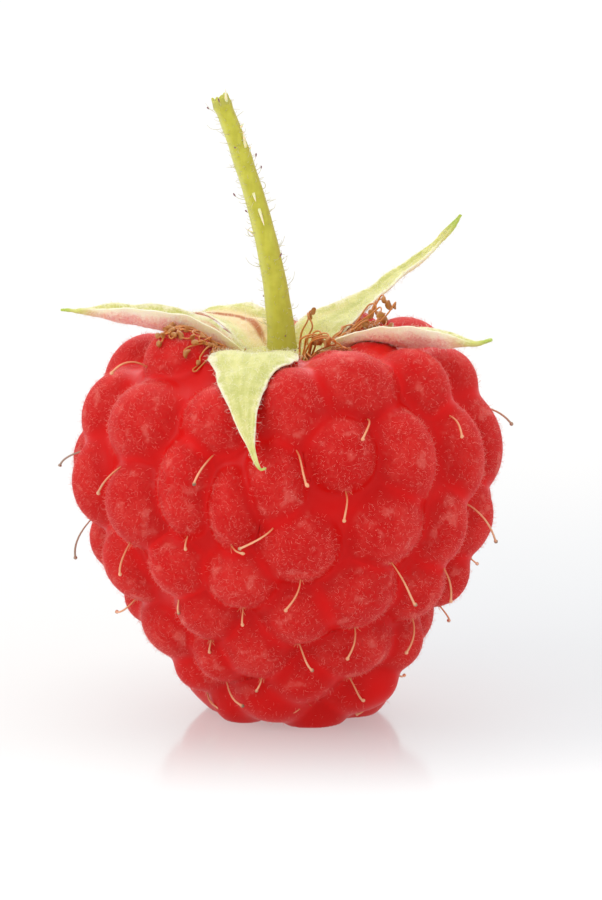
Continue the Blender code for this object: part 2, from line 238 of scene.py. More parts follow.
WHITE_GLOSS = finish("white_gloss", {
    "Base Color": (0.30, 0.30, 0.30, 1.0), "Roughness": 0.5, "Specular IOR Level": 0.0,
    "Coat Roughness": 0.12, "Coat IOR": 1.45, "Emission Strength": 1.0}, white_gloss)
mesh = bmesh.new()
bmesh.ops.create_grid(mesh, x_segments=1, y_segments=1, size=TABLE_SIZE)
table_data = bpy.data.meshes.new("table")
mesh.to_mesh(table_data)
mesh.free()
table = bpy.data.objects.new("table", table_data)
table_data.materials.append(WHITE_GLOSS)
bpy.context.scene.collection.objects.link(table)
table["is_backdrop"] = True

# ---------------------------------------------------------------- drupelets
# The fruit is about a hundred juicy drupelets, each a dome pressed flat against its neighbours,
# with a downy top, on a leaning axis. The lowest are pressed flat where the berry stands.
FRUIT_RADIUS = 11.1 * MM
FRUIT_HEIGHT = 18.6 * MM
DRUPELET_DEPTH = 1.9 * MM
LEAN = math.radians(2.4)
CENTRE_RADIUS = FRUIT_RADIUS - DRUPELET_DEPTH
SWELL = 1.10                      # a drupelet's size over the size of its free dome
BODY_RISE = 0.38 * MM             # the flesh that fills the creases, outside the domes' centres
FILLET = 0.26 * MM                # how softly a crease is filled
FILLET_REACH = 6 * FILLET         # how far off a dome it still softens the creases
CREST_GAP = (0.06 * MM, 0.75 * MM)  # from a crease to the dome's downy top
FOOT_FADE = (0.5 * MM, 4.5 * MM)  # the heights between which the domes get their full down
FOOT_DOWN = 0.35                  # the share of down left at the foot
SKIN_GRAIN = 0.19 * MM            # the size of the skin's faces
FAR_AWAY = 9.0

# The rows of drupelet centres, from the tip to the calyx, as shares of the centre line's
# largest radius and of the fruit's height.
ROWS = [(0.0, 0.08), (0.30, 0.07), (0.46, 0.14), (0.62, 0.258), (0.785, 0.387), (0.92, 0.516),
        (1.0, 0.667), (0.967, 0.806), (0.815, 0.93), (0.61, 1.0), (0.445, 0.955)]
# The front: row, azimuth in degrees (0 faces -Y, 90 faces +X), free width and height in mm, and
# the style as heading in degrees (0 down, 90 towards +X), length in mm and curl, or None.
FRONT_DRUPELETS = [
    (9.0, -66, 3.7, 3.3, (-10, 2.4, 3.0)), (8.3, 28, 4.4, 3.8, (-42, 2.4, 0.6)),
    (8.0, 59, 3.2, 3.7, (-35, 2.4, 0.6)), (7.7, 92, 3.4, 3.4, (25, 2.8, 0.2)),
    (7.4, -88, 3.8, 4.1, (-50, 3.0, 0.2)), (7.5, -54, 4.7, 4.0, (-12, 2.4, 0.4)),
    (7.7, -22, 3.6, 3.5, (-12, 2.3, 0.4)), (7.9, 3, 3.4, 4.2, (12, 3.1, 0.3)),
    (7.0, 17, 3.3, 3.4, (-18, 1.8, 0.4)), (6.8, 39, 3.2, 4.3, (-50, 0.8, 0.2)),
    (6.6, 63, 3.2, 4.8, (25, 2.9, 0.5)), (6.5, 86, 3.6, 4.8, (20, 0.9, 0.3)),
    (6.3, -99, 3.4, 3.8, None), (6.1, -79, 3.3, 4.2, (-25, 2.5, 0.3)),
    (6.0, -51, 3.7, 4.1, (-15, 1.8, 0.4)), (6.45, -31, 2.9, 4.4, (0, 0.7, 0.1)),
    (6.1, -16, 2.3, 3.8, (75, 0.8, 0.2)), (6.6, -3, 2.8, 3.8, (-68, 2.8, 0.9)),
    (5.6, 31, 3.8, 3.8, (34, 2.9, 0.8)), (5.35, 54, 3.2, 4.1, (20, 2.2, 0.4)),
    (5.2, 77, 3.2, 4.0, (75, 1.3, 0.3)), (4.9, -92, 3.0, 3.4, (-60, 0.7, 0.2)),
    (4.7, -69, 3.5, 3.9, (-80, 2.2, 0.3)), (5.0, -38, 3.2, 3.2, (-10, 0.9, 0.2)),
    (4.85, -16, 3.4, 3.3, (-5, 0.9, 0.2)), (5.45, 3, 3.7, 3.7, (-35, 1.9, 0.9)),
    (4.35, 23, 4.1, 4.0, (-15, 1.8, 0.4)), (4.2, 51, 3.4, 3.7, (-10, 1.9, 0.3)),
    (4.1, 76, 2.9, 3.4, (70, 2.2, 0.8)), (3.7, -92, 3.0, 3.0, None),
    (3.3, -69, 4.2, 3.6, (-20, 0.9, 0.3)), (4.05, -33, 3.4, 3.4, (-20, 0.8, 0.2)),
    (2.9, -37, 2.9, 3.1, None), (3.2, -16, 3.6, 3.8, (-30, 0.9, 0.3)),
    (4.0, 2, 3.5, 3.5, (30, 1.7, 0.2)), (3.0, 27, 4.3, 3.4, (42, 2.1, 1.2)),
    (2.8, 60, 3.2, 3.2, (85, 1.2, 0.5)), (2.4, -64, 3.4, 2.8, None),
    (2.0, 54, 2.9, 2.7, None), (2.4, 4, 3.5, 3.1, (-60, 1.1, 0.7)),
    (1.7, -16, 3.8, 3.2, None), (1.3, -55, 3.3, 3.1, None),
    (1.8, 44, 3.8, 3.1, None), (1.0, 18, 3.6, 3.0, None),
]
# The back, in even rows: row, first and last azimuth, and how many.
BACK_ROWS = [(8.1, 116, 254, 5), (7.5, 116, 243, 6), (6.4, 109, 241, 7), (5.1, 101, 245, 7),
             (3.95, 104, 242, 6), (2.75, 106, 250, 5), (1.7, 124, 262, 4), (1.0, 84, 262, 4)]
BACK_DRUPELET = 3.7 * MM
INNER_DRUPELET = 2.6 * MM
INNER_ROW = 9.7
INNER_COUNT = 11

lean = Matrix.Rotation(-LEAN, 3, "Y")


def leaning(points):
    """Points of the upright berry, leant as it stands."""
    return points @ np.array(lean).T


def row_point(row):
    """Radius and height of the drupelets' centre line at a row, between rows too."""
    low = min(int(row), len(ROWS) - 2)
    share = row - low
    radius = ROWS[low][0] + (ROWS[low + 1][0] - ROWS[low][0]) * share
    height = ROWS[low][1] + (ROWS[low + 1][1] - ROWS[low][1]) * share
    return radius * CENTRE_RADIUS, height * FRUIT_HEIGHT


def berry_frame(row, azimuth):
    """Centre, outward, sideways and downward directions at a row and azimuth, leaning."""
    before = row_point(max(row - 0.7, 0.0))
    after = row_point(min(row + 0.7, len(ROWS) - 1.0))
    along = Vector((after[0] - before[0], after[1] - before[1])).normalized()
    angle = math.radians(azimuth)
    radial = Vector((math.sin(angle), -math.cos(angle), 0.0))
    up = Vector((0.0, 0.0, 1.0))
    radius, height = row_point(row)
    centre = radial * radius + up * height
    outward = radial * along.y - up * along.x
    sideways = Vector((math.cos(angle), math.sin(angle), 0.0))
    down = sideways.cross(outward)
    return lean @ centre, lean @ outward, lean @ sideways, lean @ down


def smooth_step(values, low, high):
    share = np.clip((values - low) / (high - low), 0.0, 1.0)
    return share * share * (3 - 2 * share)


def body(spots):
    """How far each spot is outside the flesh between the domes, a turned body."""
    upright = spots @ np.array(lean)
    radius = np.hypot(upright[:, 0], upright[:, 1])
    sides = []
    for row in range(len(ROWS) - 1):
        (near, low), (far, high) = row_point(row), row_point(row + 1)
        length = math.hypot(far - near, high - low)
        across, up = (high - low) / length, (near - far) / length
        sides.append((radius - near) * across + (upright[:, 2] - low) * up)
    return np.max(sides, axis=0) - BODY_RISE


class Drupelet:
    """One drupelet: its centre, its axes as rows, its half sizes along them, and its style."""

    def __init__(self, row, azimuth, half_width, half_height, depth, style):
        centre, outward, sideways, down = berry_frame(row, azimuth)
        self.style = style
        self.centre = np.array(centre)
        self.axes = np.array([down, sideways, outward])
        self.sizes = np.array([half_height * SWELL, half_width * SWELL, depth])

    def outside(self, spots):
        """About how far each spot is outside this drupelet alone, below 0 inside it."""
        local = (spots - self.centre) @ self.axes.T
        return (np.linalg.norm(local / self.sizes, axis=1) - 1.0) * self.sizes.mean()

    def near(self, spots):
        """The numbers of the spots close enough for this drupelet to matter."""
        apart = ((spots - self.centre) ** 2).sum(axis=1)
        return np.flatnonzero(apart < (self.sizes.max() + FILLET_REACH) ** 2)


drupelets = [Drupelet(row, azimuth, width * MM / 2, tall * MM / 2, DRUPELET_DEPTH, style)
             for row, azimuth, width, tall, style in FRONT_DRUPELETS]
vary = random.Random(5)
for row, first, last, count in BACK_ROWS:
    for i in range(count):
        azimuth = first + (last - first) * i / (count - 1) + vary.uniform(-3.0, 3.0)
        place = row + vary.uniform(-0.12, 0.12)
        half_width = BACK_DRUPELET / 2 * vary.uniform(0.94, 1.08)
        half_height = BACK_DRUPELET / 2 * vary.uniform(0.94, 1.08)
        drupelets.append(Drupelet(place, azimuth, half_width, half_height, DRUPELET_DEPTH, None))
for i in range(INNER_COUNT):
    half = INNER_DRUPELET / 2
    drupelets.append(Drupelet(INNER_ROW, 360.0 * i / INNER_COUNT, half, half, half, None))
half = BACK_DRUPELET / 2
drupelets.append(Drupelet(0.0, 0.0, half, half, half, None))


def skin(spots):
    """Below 0 inside the berry: all its domes and the body, with soft fillets between them."""
    total = np.exp(-body(spots) / FILLET)
    for one in drupelets:
        near = one.near(spots)
        total[near] += np.exp(-one.outside(spots[near]) / FILLET)
    return -FILLET * np.log(total)


def slope(field, spots, step=0.005 * MM):
    """The direction in which a field grows fastest at each spot."""
    rise = [field(spots + np.eye(3)[axis] * step) - field(spots - np.eye(3)[axis] * step)
            for axis in range(3)]
    return np.column_stack(rise) / (2 * step)


def cast(field, start, directions, longest):
    """Where rays from inside a field come out of it."""
    inner, outer = np.zeros(len(directions)), np.full(len(directions), longest)
    for _ in range(18):
        middle = (inner + outer) / 2
        inside = field(start + directions * middle[:, None]) < 0.0
        inner, outer = np.where(inside, middle, inner), np.where(inside, outer, middle)
    return start + directions * inner[:, None]


def ball(fineness):
    """A unit ball's points and faces."""
    mesh = bmesh.new()
    bmesh.ops.create_icosphere(mesh, subdivisions=fineness, radius=1.0)
    points = np.array([vert.co for vert in mesh.verts])
    faces = np.array([[vert.index for vert in face.verts] for face in mesh.faces])
    mesh.free()
    return points, faces


def plain_mesh(name, points, faces, attributes, edges=()):
    """A smooth mesh from arrays, with a number at each point for each attribute."""
    data = bpy.data.meshes.new(name)
    data.from_pydata(points.tolist(), list(edges), list(map(tuple, faces)))
    for key, values in attributes.items():
        layer = data.attributes.new(key, "FLOAT", "POINT")
        layer.data.foreach_set("value", np.asarray(values, np.float32))
    data.shade_smooth()
    piece = bpy.data.objects.new(name, data)
    bpy.context.scene.collection.objects.link(piece)
    return piece


def remeshed(piece, grain):
    """The outer surface of overlapping closed shapes, in even faces: points and faces."""
    step = piece.modifiers.new("grain", "REMESH")
    step.mode = "VOXEL"
    step.voxel_size = grain
    evaluated = piece.evaluated_get(bpy.context.evaluated_depsgraph_get())
    data = bpy.data.meshes.new_from_object(evaluated)
    bpy.data.objects.remove(piece, do_unlink=True)
    points = np.zeros(len(data.vertices) * 3)
    data.vertices.foreach_get("co", points)
    faces = np.zeros(len(data.loops), np.int64)
    data.loops.foreach_get("vertex_index", faces)
    bpy.data.meshes.remove(data)
    return points.reshape(-1, 3), faces.reshape(-1, 4)


ball_points, ball_faces = ball(4)
middle = np.array(lean @ Vector((0.0, 0.0, FRUIT_HEIGHT / 2)))
blocks = [cast(body, middle, ball_points, FRUIT_HEIGHT)]
blocks += [one.centre + (ball_points * one.sizes) @ one.axes for one in drupelets]
block_faces = [ball_faces + len(ball_points) * i for i in range(len(blocks))]
rough = plain_mesh("rough", np.concatenate(blocks), np.concatenate(block_faces), {})
spots, faces = remeshed(rough, SKIN_GRAIN)
for _ in range(3):
    way = slope(skin, spots)
    spots = spots - way * (skin(spots) / (way ** 2).sum(axis=1))[:, None]

# Each point belongs to the drupelet that it is deepest in; the crest is clear of the next one.
first, second = body(spots), np.full(len(spots), FAR_AWAY)
owner = np.full(len(spots), -1)
for number, one in enumerate(drupelets):
    near = one.near(spots)
    outside = one.outside(spots[near])
    closer = outside < first[near]
    second[near] = np.where(closer, first[near], np.minimum(second[near], outside))
    first[near] = np.where(closer, outside, first[near])
    owner[near[closer]] = number
tones = np.array([random.Random(number).random() for number in range(len(drupelets))] + [0.5])
crest = np.where(owner >= 0, smooth_step(second - first, *CREST_GAP), 0.0)
crest *= FOOT_DOWN + (1 - FOOT_DOWN) * smooth_step(spots[:, 2], *FOOT_FADE)
spots[:, 2] = np.maximum(spots[:, 2], 0.0)
fruit = plain_mesh("raspberry_fruit", spots, faces, {"thick": crest, "tone": tones[owner]})


def fruit_flesh(recipe, place):
    """Saturated red in the creases, raised in part as painted light shining through the flesh; paler
    and downy on the domes, with painted highlights in soft patches; and a mottled tone.
    """
    dome = recipe.attribute("thick")
    tone = recipe.attribute("tone")
    # Soft pale patches on the domes: the down's own mottle, and in part painted highlight.
    mottle_and_highlight = recipe.ramp(recipe.noise(place, 1.5 * MM, 3.0, 0.55), 0.36, 0.66)
    bloom = recipe.ramp(recipe.noise(place, 0.26 * MM, 4.0, 0.7), 0.36, 0.64)
    grain = recipe.noise(place, 0.12 * MM, 3.0)
    # The creases' saturated red is the bare skin's own, raised in part as painted light shining
    # through the flesh.
    deep = recipe.mix((0.58, 0.002, 0.001), (0.66, 0.003, 0.002), tone)
    pale = recipe.mix((0.45, 0.002, 0.0015), (0.58, 0.031, 0.024),
                      (mottle_and_highlight * 0.55 + bloom * 0.45) * dome)
    skin = recipe.mix(deep, pale, (dome * (0.60 + 0.40 * bloom)).clamped())
    # Painted highlight: paler pink patches on the domes.
    painted_highlight = recipe.ramp(recipe.noise(place, 0.9 * MM, 3.0, 0.55), 0.56, 0.70)
    skin = recipe.mix(skin, (0.66, 0.15, 0.12), painted_highlight * dome * 0.45)
    skin = recipe.mix(skin, (0.36, 0.003, 0.003),
                      recipe.ramp(grain, 0.55, 0.75) * dome * 0.4)
    return {"Base Color": skin, "Roughness": 0.36 + dome * 0.20,
            "Normal": recipe.bump(grain * dome, 0.35, 0.03 * MM)}


FRUIT_FLESH = finish("fruit_flesh", {
    "Subsurface Weight": 0.7, "Subsurface Scale": 1.8 * MM, "Subsurface Radius": (1.0, 0.15, 0.1),
    "IOR": 1.38, "Specular IOR Level": 0.2, "Sheen Weight": 0.045, "Sheen Roughness": 0.4,
    "Sheen Tint": (1.0, 0.55, 0.55, 1.0)}, fruit_flesh)


def settle(piece, slot, *nodes):
    """A finished piece: attached to the root body, with the solids that it stands for hidden. The
    slot is not used.
    """
    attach(piece, "root")
    if nodes:
        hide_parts(*nodes)


fruit.data.materials.append(FRUIT_FLESH)
settle(fruit, "fruit_flesh", "fruit")

# ---------------------------------------------------------------- down on the drupelets
# Ripe drupelets carry a down of short curly hairs, thickest on their domes and absent from the
# creases. Each hair is a curved thread a few cells wide, grown out of the skin.
DOWN_DENSITY = 2.9e7              # hairs on a square metre of dome
DOWN_LENGTH = 0.19 * MM
DOWN_RADIUS = 0.0055 * MM
DOWN_TILT = 0.9                   # radians off upright, at most
# The down is made in belts, between two heights, and none of it reaches the table.
DOWN_BELTS = [(0.32 * MM, 6.5 * MM), (6.5 * MM, 10.5 * MM), (10.5 * MM, 14.0 * MM),
              (14.0 * MM, 17.3 * MM), (17.3 * MM, 25.0 * MM)]
HAIR_SIZES = ["Density", "Length", "Radius", "Bottom", "Top"]


def growth(name, inputs, material, make):
    """A Geometry Nodes tree with named inputs for its sizes; make gives its geometry."""
    tree = bpy.data.node_groups.new(name, "GeometryNodeTree")
    tree.interface.new_socket("Geometry", in_out="OUTPUT", socket_type="NodeSocketGeometry")
    tree.interface.new_socket("Geometry", in_out="INPUT", socket_type="NodeSocketGeometry")
    for key in inputs:
        tree.interface.new_socket(key, in_out="INPUT", socket_type="NodeSocketFloat")
    recipe = Recipe(tree)
    grown = make(recipe, recipe.node("NodeGroupInput"))
    smooth = recipe.node("GeometryNodeSetShadeSmooth", None, {"Geometry": grown})
    real = recipe.node("GeometryNodeRealizeInstances", None, {"Geometry": smooth})
    painted = recipe.node("GeometryNodeSetMaterial", None, {"Geometry": real, "Material": material})
    recipe.node("NodeGroupOutput", None, {"Geometry": painted})
    return tree


def grow(name, base, tree, sizes):
    """The plain mesh that a growth makes on a base piece."""
    carrier = base.copy()
    bpy.context.scene.collection.objects.link(carrier)
    step = carrier.modifiers.new("growth", "NODES")
    step.node_group = tree
    for socket in tree.interface.items_tree:
        if socket.in_out == "INPUT" and socket.name in sizes:
            step[socket.identifier] = sizes[socket.name]
    evaluated = carrier.evaluated_get(bpy.context.evaluated_depsgraph_get())
    data = bpy.data.meshes.new_from_object(evaluated)
    bpy.data.objects.remove(carrier, do_unlink=True)
    piece = bpy.data.objects.new(name, data)
    data.name = name
    bpy.context.scene.collection.objects.link(piece)
    return piece


def named(recipe, name):
    return recipe.node("GeometryNodeInputNamedAttribute", {"data_type": "FLOAT"}, {"Name": name})


def scattered(recipe, low, high, seed):
    """A different number for each hair."""
    return recipe.node("FunctionNodeRandomValue", {"data_type": "FLOAT"},
                       {"Min": low, "Max": high, "Seed": seed})


def hair_kind(recipe, inlet, middle, end):
    """One thin tapering hair of length 1 from the origin, curved by its middle and end."""
    thread = recipe.node("GeometryNodeCurveQuadraticBezier", None,
                         {"Resolution": 4, "Start": (0.0, 0.0, 0.0), "Middle": middle, "End": end})
    ring = recipe.node("GeometryNodeCurvePrimitiveCircle", {"mode": "RADIUS"},
                       {"Resolution": 3, "Radius": inlet.out("Radius") / inlet.out("Length")})
    taper = 1.0 - 0.6 * recipe.node("GeometryNodeSplineParameter").out("Factor")
    return recipe.node("GeometryNodeCurveToMesh", None,
                       {"Curve": thread, "Profile Curve": ring, "Scale": taper})


def down(recipe, inlet):
    """Hairs on the base where its numbers called thick are high, between two heights."""
    height = recipe.node("GeometryNodeInputPosition")
    height = recipe.node("ShaderNodeSeparateXYZ", None, {"Vector": height}).out("Z")
    here = height.maths("GREATER_THAN", height, inlet.out("Bottom"))
    here = here * height.maths("LESS_THAN", height, inlet.out("Top"))
    roots = recipe.node("GeometryNodeDistributePointsOnFaces", {"distribute_method": "RANDOM"},
                        {"Mesh": inlet, "Density": named(recipe, "thick") * here
                         * inlet.out("Density"), "Seed": 3})
    turn = recipe.node("FunctionNodeRandomValue", {"data_type": "FLOAT_VECTOR"},
                       {"Min": (-DOWN_TILT, -DOWN_TILT, 0.0),
                        "Max": (DOWN_TILT, DOWN_TILT, 2 * math.pi), "Seed": 5})
    turn = recipe.node("FunctionNodeEulerToRotation", None, {"Euler": turn})
    turn = recipe.node("FunctionNodeRotateRotation", {"rotation_space": "LOCAL"},
                       {"Rotation": roots.out("Rotation"), "Rotate By": turn})
    kinds = [hair_kind(recipe, inlet, (0.1, 0.0, 0.55), (0.75, 0.1, 0.45)),
             hair_kind(recipe, inlet, (0.5, 0.3, 0.35), (0.2, 0.75, 0.25)),
             hair_kind(recipe, inlet, (0.0, 0.1, 0.6), (0.35, -0.2, 0.9))]
    kinds = recipe.node("GeometryNodeGeometryToInstance", None, {"Geometry": kinds})
    return recipe.node("GeometryNodeInstanceOnPoints", None, {
        "Points": roots, "Instance": kinds, "Pick Instance": True, "Rotation": turn,
        "Scale": inlet.out("Length") * scattered(recipe, 0.6, 1.4, 9)})


def pale_hair(recipe, place):
    return {"Base Color": recipe.mix((0.78, 0.13, 0.10), (0.92, 0.40, 0.33),
                                     recipe.noise(place, 0.5 * MM))}


DOWN_HAIR = finish("down_hair", {"Roughness": 0.5, "Specular IOR Level": 0.4}, pale_hair)
fruit_down = growth("fruit_down", HAIR_SIZES, DOWN_HAIR, down)
for number, belt in enumerate(DOWN_BELTS, start=1):
    sizes = dict(zip(HAIR_SIZES, (DOWN_DENSITY, DOWN_LENGTH, DOWN_RADIUS, *belt)))
    settle(grow(f"drupelet_down_{number}", fruit, fruit_down, sizes), "fruit_flesh")

# ---------------------------------------------------------------- styles
# Each drupelet keeps its dried style, a thin tan thread with a darker knobbed end. It hangs from
# the lower side of the dome, where a small tuft of brownish hair stands round its root.
STYLE_RADIUS = 0.052 * MM
STIGMA_RADIUS = 0.105 * MM
STYLE_ANGLE = math.radians(52)    # how far below its pole a drupelet's style is rooted
SHOULDER_ANGLE = math.radians(78)  # the same for drupelets over the shoulder's height
SHOULDER_HEIGHT = 13.3 * MM
STYLE_COUNT = 16                  # points along a style
STYLE_CLEARANCE = 0.2 * MM        # a style that would come nearer the table is left out
KNOB_LENGTHS = np.array([0.05, 0.10, 0.15, 0.19, 0.21])  # mm past the style's own end
KNOB_RADII = np.array([0.75, 1.0, 0.95, 0.6, 0.12])      # over the stigma's radius
DARK_SHARE = 0.4                  # of the styles have a dark end
TUFT_HAIRS = 7
TUFT_POINTS = 6


def bend(start, middle, end, shares):
    """Points along a quadratic curve, at these shares of it."""
    t = np.asarray(shares)[:, None]
    return (1 - t) ** 2 * start + 2 * t * (1 - t) * middle + t ** 2 * end


def paths_mesh(name, paths, **attributes):
    """Open paths as one mesh of edges, with numbers for each point of each path."""
    points = np.concatenate(paths)
    edges, first = [], 0
    for path in paths:
        edges += [(first + i, first + i + 1) for i in range(len(path) - 1)]
        first += len(path)
    values = {key: np.concatenate(parts) for key, parts in attributes.items()}
    return plain_mesh(name, points, np.zeros((0, 3), int), values, edges)


def tubes(recipe, inlet):
    """Round tapering threads along the base's edges; thick is their radius in metres."""
    curves = recipe.node("GeometryNodeMeshToCurve", None, {"Mesh": inlet})
    ring = recipe.node("GeometryNodeCurvePrimitiveCircle", {"mode": "RADIUS"},
                       {"Resolution": 7, "Radius": 1.0})
    return recipe.node("GeometryNodeCurveToMesh", None,
                       {"Curve": curves, "Profile Curve": ring, "Scale": named(recipe, "thick"),
                        "Fill Caps": True})


class Threads:
    """Threads gathered for one piece: their paths, radii, and shares of their own length."""

    def __init__(self):
        self.paths, self.thick, self.along = [], [], []

    def add(self, path, thick, last=1.0):
        """One thread; last is what its share comes to at its end, for the finish."""
        self.paths.append(path)
        self.thick.append(thick)
        self.along.append(np.linspace(0.0, last, len(path)))

    def settle(self, name, material, slot, *nodes):
        """One piece of closed round threads."""
        base = paths_mesh(name + "_paths", self.paths, thick=self.thick, along=self.along)
        settle(grow(name, base, growth(name, [], material, tubes), {}), slot, *nodes)
        bpy.data.objects.remove(base, do_unlink=True)


def solids(start):
    """The names of the solids whose names start so."""
    return [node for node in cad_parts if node.startswith(start)]


def style_path(drupelet, heading, length, curl):
    """A style's points, from inside the dome's lower side out to its stigma."""
    down_way, sideways, outward = drupelet.axes
    angle = SHOULDER_ANGLE if drupelet.centre[2] > SHOULDER_HEIGHT else STYLE_ANGLE
    root = (drupelet.centre + outward * drupelet.sizes[2] * math.cos(angle)
            + down_way * drupelet.sizes[0] * math.sin(angle))
    turn = math.radians(heading)
    away = down_way * math.cos(turn) + sideways * math.sin(turn)
    first = outward * 0.8 + down_way * 0.35 + away * 0.35
    last = away - outward * 0.25 * curl
    half = length * MM / 2
    first, last = first / np.linalg.norm(first) * half, last / np.linalg.norm(last) * half
    shares = np.linspace(0.0, 1.0, STYLE_COUNT - len(KNOB_LENGTHS))
    path = bend(root - first * 0.15, root + first, root + first + last,
                np.concatenate([shares, 1.0 + KNOB_LENGTHS / length]))
    waver = np.sin(np.linspace(0, 7, STYLE_COUNT))[:, None] * sideways * 0.02 * MM * length
    return path + waver


def style_thickness(long):
    thread = np.linspace(0.72, 1.1, STYLE_COUNT - len(KNOB_RADII)) * (0.8 + 0.2 * long)
    return np.concatenate([thread * STYLE_RADIUS, KNOB_RADII * STIGMA_RADIUS * (0.75 + 0.25 * long)])


vary = random.Random(11)
styles, style_roots = Threads(), []
for one in drupelets[:-1 - INNER_COUNT]:
    heading, length, curl = one.style or (vary.uniform(-60, 60), vary.uniform(0.7, 2.0),
                                          vary.uniform(0.2, 1.0))
    path = style_path(one, heading, length, curl)
    if path[:, 2].min() < STYLE_CLEARANCE:
        continue
    style_roots.append((path[0], one))
    styles.add(path, style_thickness(min(length / 2.0, 1.0)),
               1.0 if vary.random() < DARK_SHARE else 0.62)


def dried_thread(recipe, place):
    """Orange tan, paler along its length, some with a dark end, and turned grey by painted shade far
    out at the berry's sides.
    """
    along = recipe.attribute("along")
    # Painted shade: styles far out to the sides are turned grey, as they look in silhouette.
    silhouette_shade = recipe.node("ShaderNodeSeparateXYZ", None, {"Vector": place}).out("X").absolute()
    silhouette_shade = recipe.ramp(silhouette_shade, 9.0 * MM, 11.5 * MM)
    mottle = recipe.noise(place, 0.3 * MM, 3.0)
    rooted = recipe.mix((0.58, 0.14, 0.05), (0.70, 0.26, 0.10), mottle)
    free = recipe.mix((0.72, 0.29, 0.14), (0.82, 0.47, 0.26), mottle)
    tan = recipe.mix(rooted, free, recipe.ramp(along, 0.05, 0.55))
    tan = recipe.mix(tan, (0.26, 0.20, 0.16), silhouette_shade * 0.8)
    return {"Base Color": recipe.mix(tan, (0.20, 0.12, 0.07),
                                     recipe.ramp(along, 0.66, 0.92))}


STYLE_THREAD = finish("style_thread", {"Roughness": 0.42, "Specular IOR Level": 0.5,
                                       "Subsurface Weight": 0.2, "Subsurface Scale": 0.1 * MM},
                      dried_thread)
styles.settle("styles", STYLE_THREAD, "style_thread", *solids("style_"))

tufts = Threads()
for root, one in style_roots:
    down_way, sideways, outward = one.axes
    for _ in range(TUFT_HAIRS):
        angle, spread = vary.uniform(0, 2 * math.pi), vary.uniform(0.05, 0.16) * MM
        start = root + (down_way * math.cos(angle) + sideways * math.sin(angle)) * spread
        way = (outward + down_way * vary.uniform(-0.6, 0.9) + sideways * vary.uniform(-0.8, 0.8))
        reach = vary.uniform(0.18, 0.34) * MM
        curl = (down_way * vary.uniform(-0.5, 1.0) + sideways * vary.uniform(-1, 1)) * reach * 0.6
        tufts.add(bend(start, start + way * reach * 0.6, start + way * reach + curl,
                       np.linspace(0, 1, TUFT_POINTS)),
                  np.linspace(0.014, 0.006, TUFT_POINTS) * MM, 0.5)
tufts.settle("style_tufts", STYLE_THREAD, "style_thread")

# ---------------------------------------------------------------- calyx disc
# The green disc between stem and fruit, grown in one with the sepals: a low felted saucer with a
# raised collar round the stem's foot.
CALYX_RADIUS = 2.4 * MM
DISC_SEAT = 0.66 * MM             # how far the disc is sunk below the highest drupelets' centres
DISC_THICKNESS = 0.5 * MM
DISC_OUTLINE = [(0.0, -0.50), (1.6, -0.52), (2.25, -0.42), (2.52, -0.16), (2.45, 0.08),
                (2.05, 0.16), (1.55, 0.05), (1.15, 0.22), (0.9, 0.42), (0.0, 0.46)]
DISC_RINGS = 40
DISC_SPOKES = 72
disc_top = FRUIT_HEIGHT - DISC_SEAT + DISC_THICKNESS


def smooth_values(rows, count):
    """Rows of numbers made many by a Catmull-Rom curve through them."""
    rows = np.asarray(rows, float)
    ends = np.vstack([rows[0] * 2 - rows[1], rows, rows[-1] * 2 - rows[-2]])
    place = np.linspace(0, len(rows) - 1, count)
    low = np.minimum(place.astype(int), len(rows) - 2)
    t = (place - low)[:, None]
    a, b, c, d = ends[low], ends[low + 1], ends[low + 2], ends[low + 3]
    return (b * 2 + (c - a) * t + (a * 2 - b * 5 + c * 4 - d) * t * t
            + (b * 3 - a - c * 3 + d) * t ** 3) * 0.5


def ring_faces(rings, steps):
    """Quads between closed rings of points, each ring following the last."""
    i, j = np.meshgrid(np.arange(rings - 1), np.arange(steps), indexing="ij")
    after = (j + 1) % steps
    return np.stack([i * steps + j, i * steps + after, (i + 1) * steps + after,
                     (i + 1) * steps + j], axis=-1).reshape(-1, 4)


WAVES = 6


def lumps(spots, size, seed):
    """Smooth lumps from -1 to 1, about this size, made from seeded waves."""
    draw = np.random.default_rng(seed)
    total = np.zeros(len(spots))
    for _ in range(WAVES):
        way = draw.normal(size=3)
        way *= draw.uniform(0.7, 1.6) * 2 * math.pi / size / np.linalg.norm(way)
        total += np.sin(spots @ way + draw.uniform(0, 2 * math.pi))
    return total / WAVES * 1.6


profile = smooth_values(DISC_OUTLINE, DISC_RINGS) * MM
profile[:, 0] = np.maximum(profile[:, 0], 0.02 * MM)
turn = np.linspace(0, 2 * math.pi, DISC_SPOKES, endpoint=False)
points = np.stack([profile[:, :1] * np.cos(turn), profile[:, :1] * np.sin(turn),
                   np.repeat(profile[:, 1:], DISC_SPOKES, axis=1)], axis=-1).reshape(-1, 3)
points[:, 2] += lumps(points, 0.8 * MM, 4) * 0.05 * MM + disc_top
points = leaning(points)
tips = [len(points), len(points) + 1]
points = np.vstack([points, points[:DISC_SPOKES].mean(axis=0), points[-DISC_SPOKES:].mean(axis=0)])
disc_faces = ring_faces(DISC_RINGS, DISC_SPOKES).tolist()
for i in range(DISC_SPOKES):
    after, last = (i + 1) % DISC_SPOKES, (DISC_RINGS - 1) * DISC_SPOKES
    disc_faces += [(after, i, tips[0]), (last + i, last + after, tips[1])]
disc_numbers = {"thick": 0.6, "along": 0.0, "across": 0.0, "under": 0.0, "blush": 0.2}
calyx_disc = plain_mesh("calyx_saucer", points, disc_faces,
                        {key: np.full(len(points), value) for key, value in disc_numbers.items()})


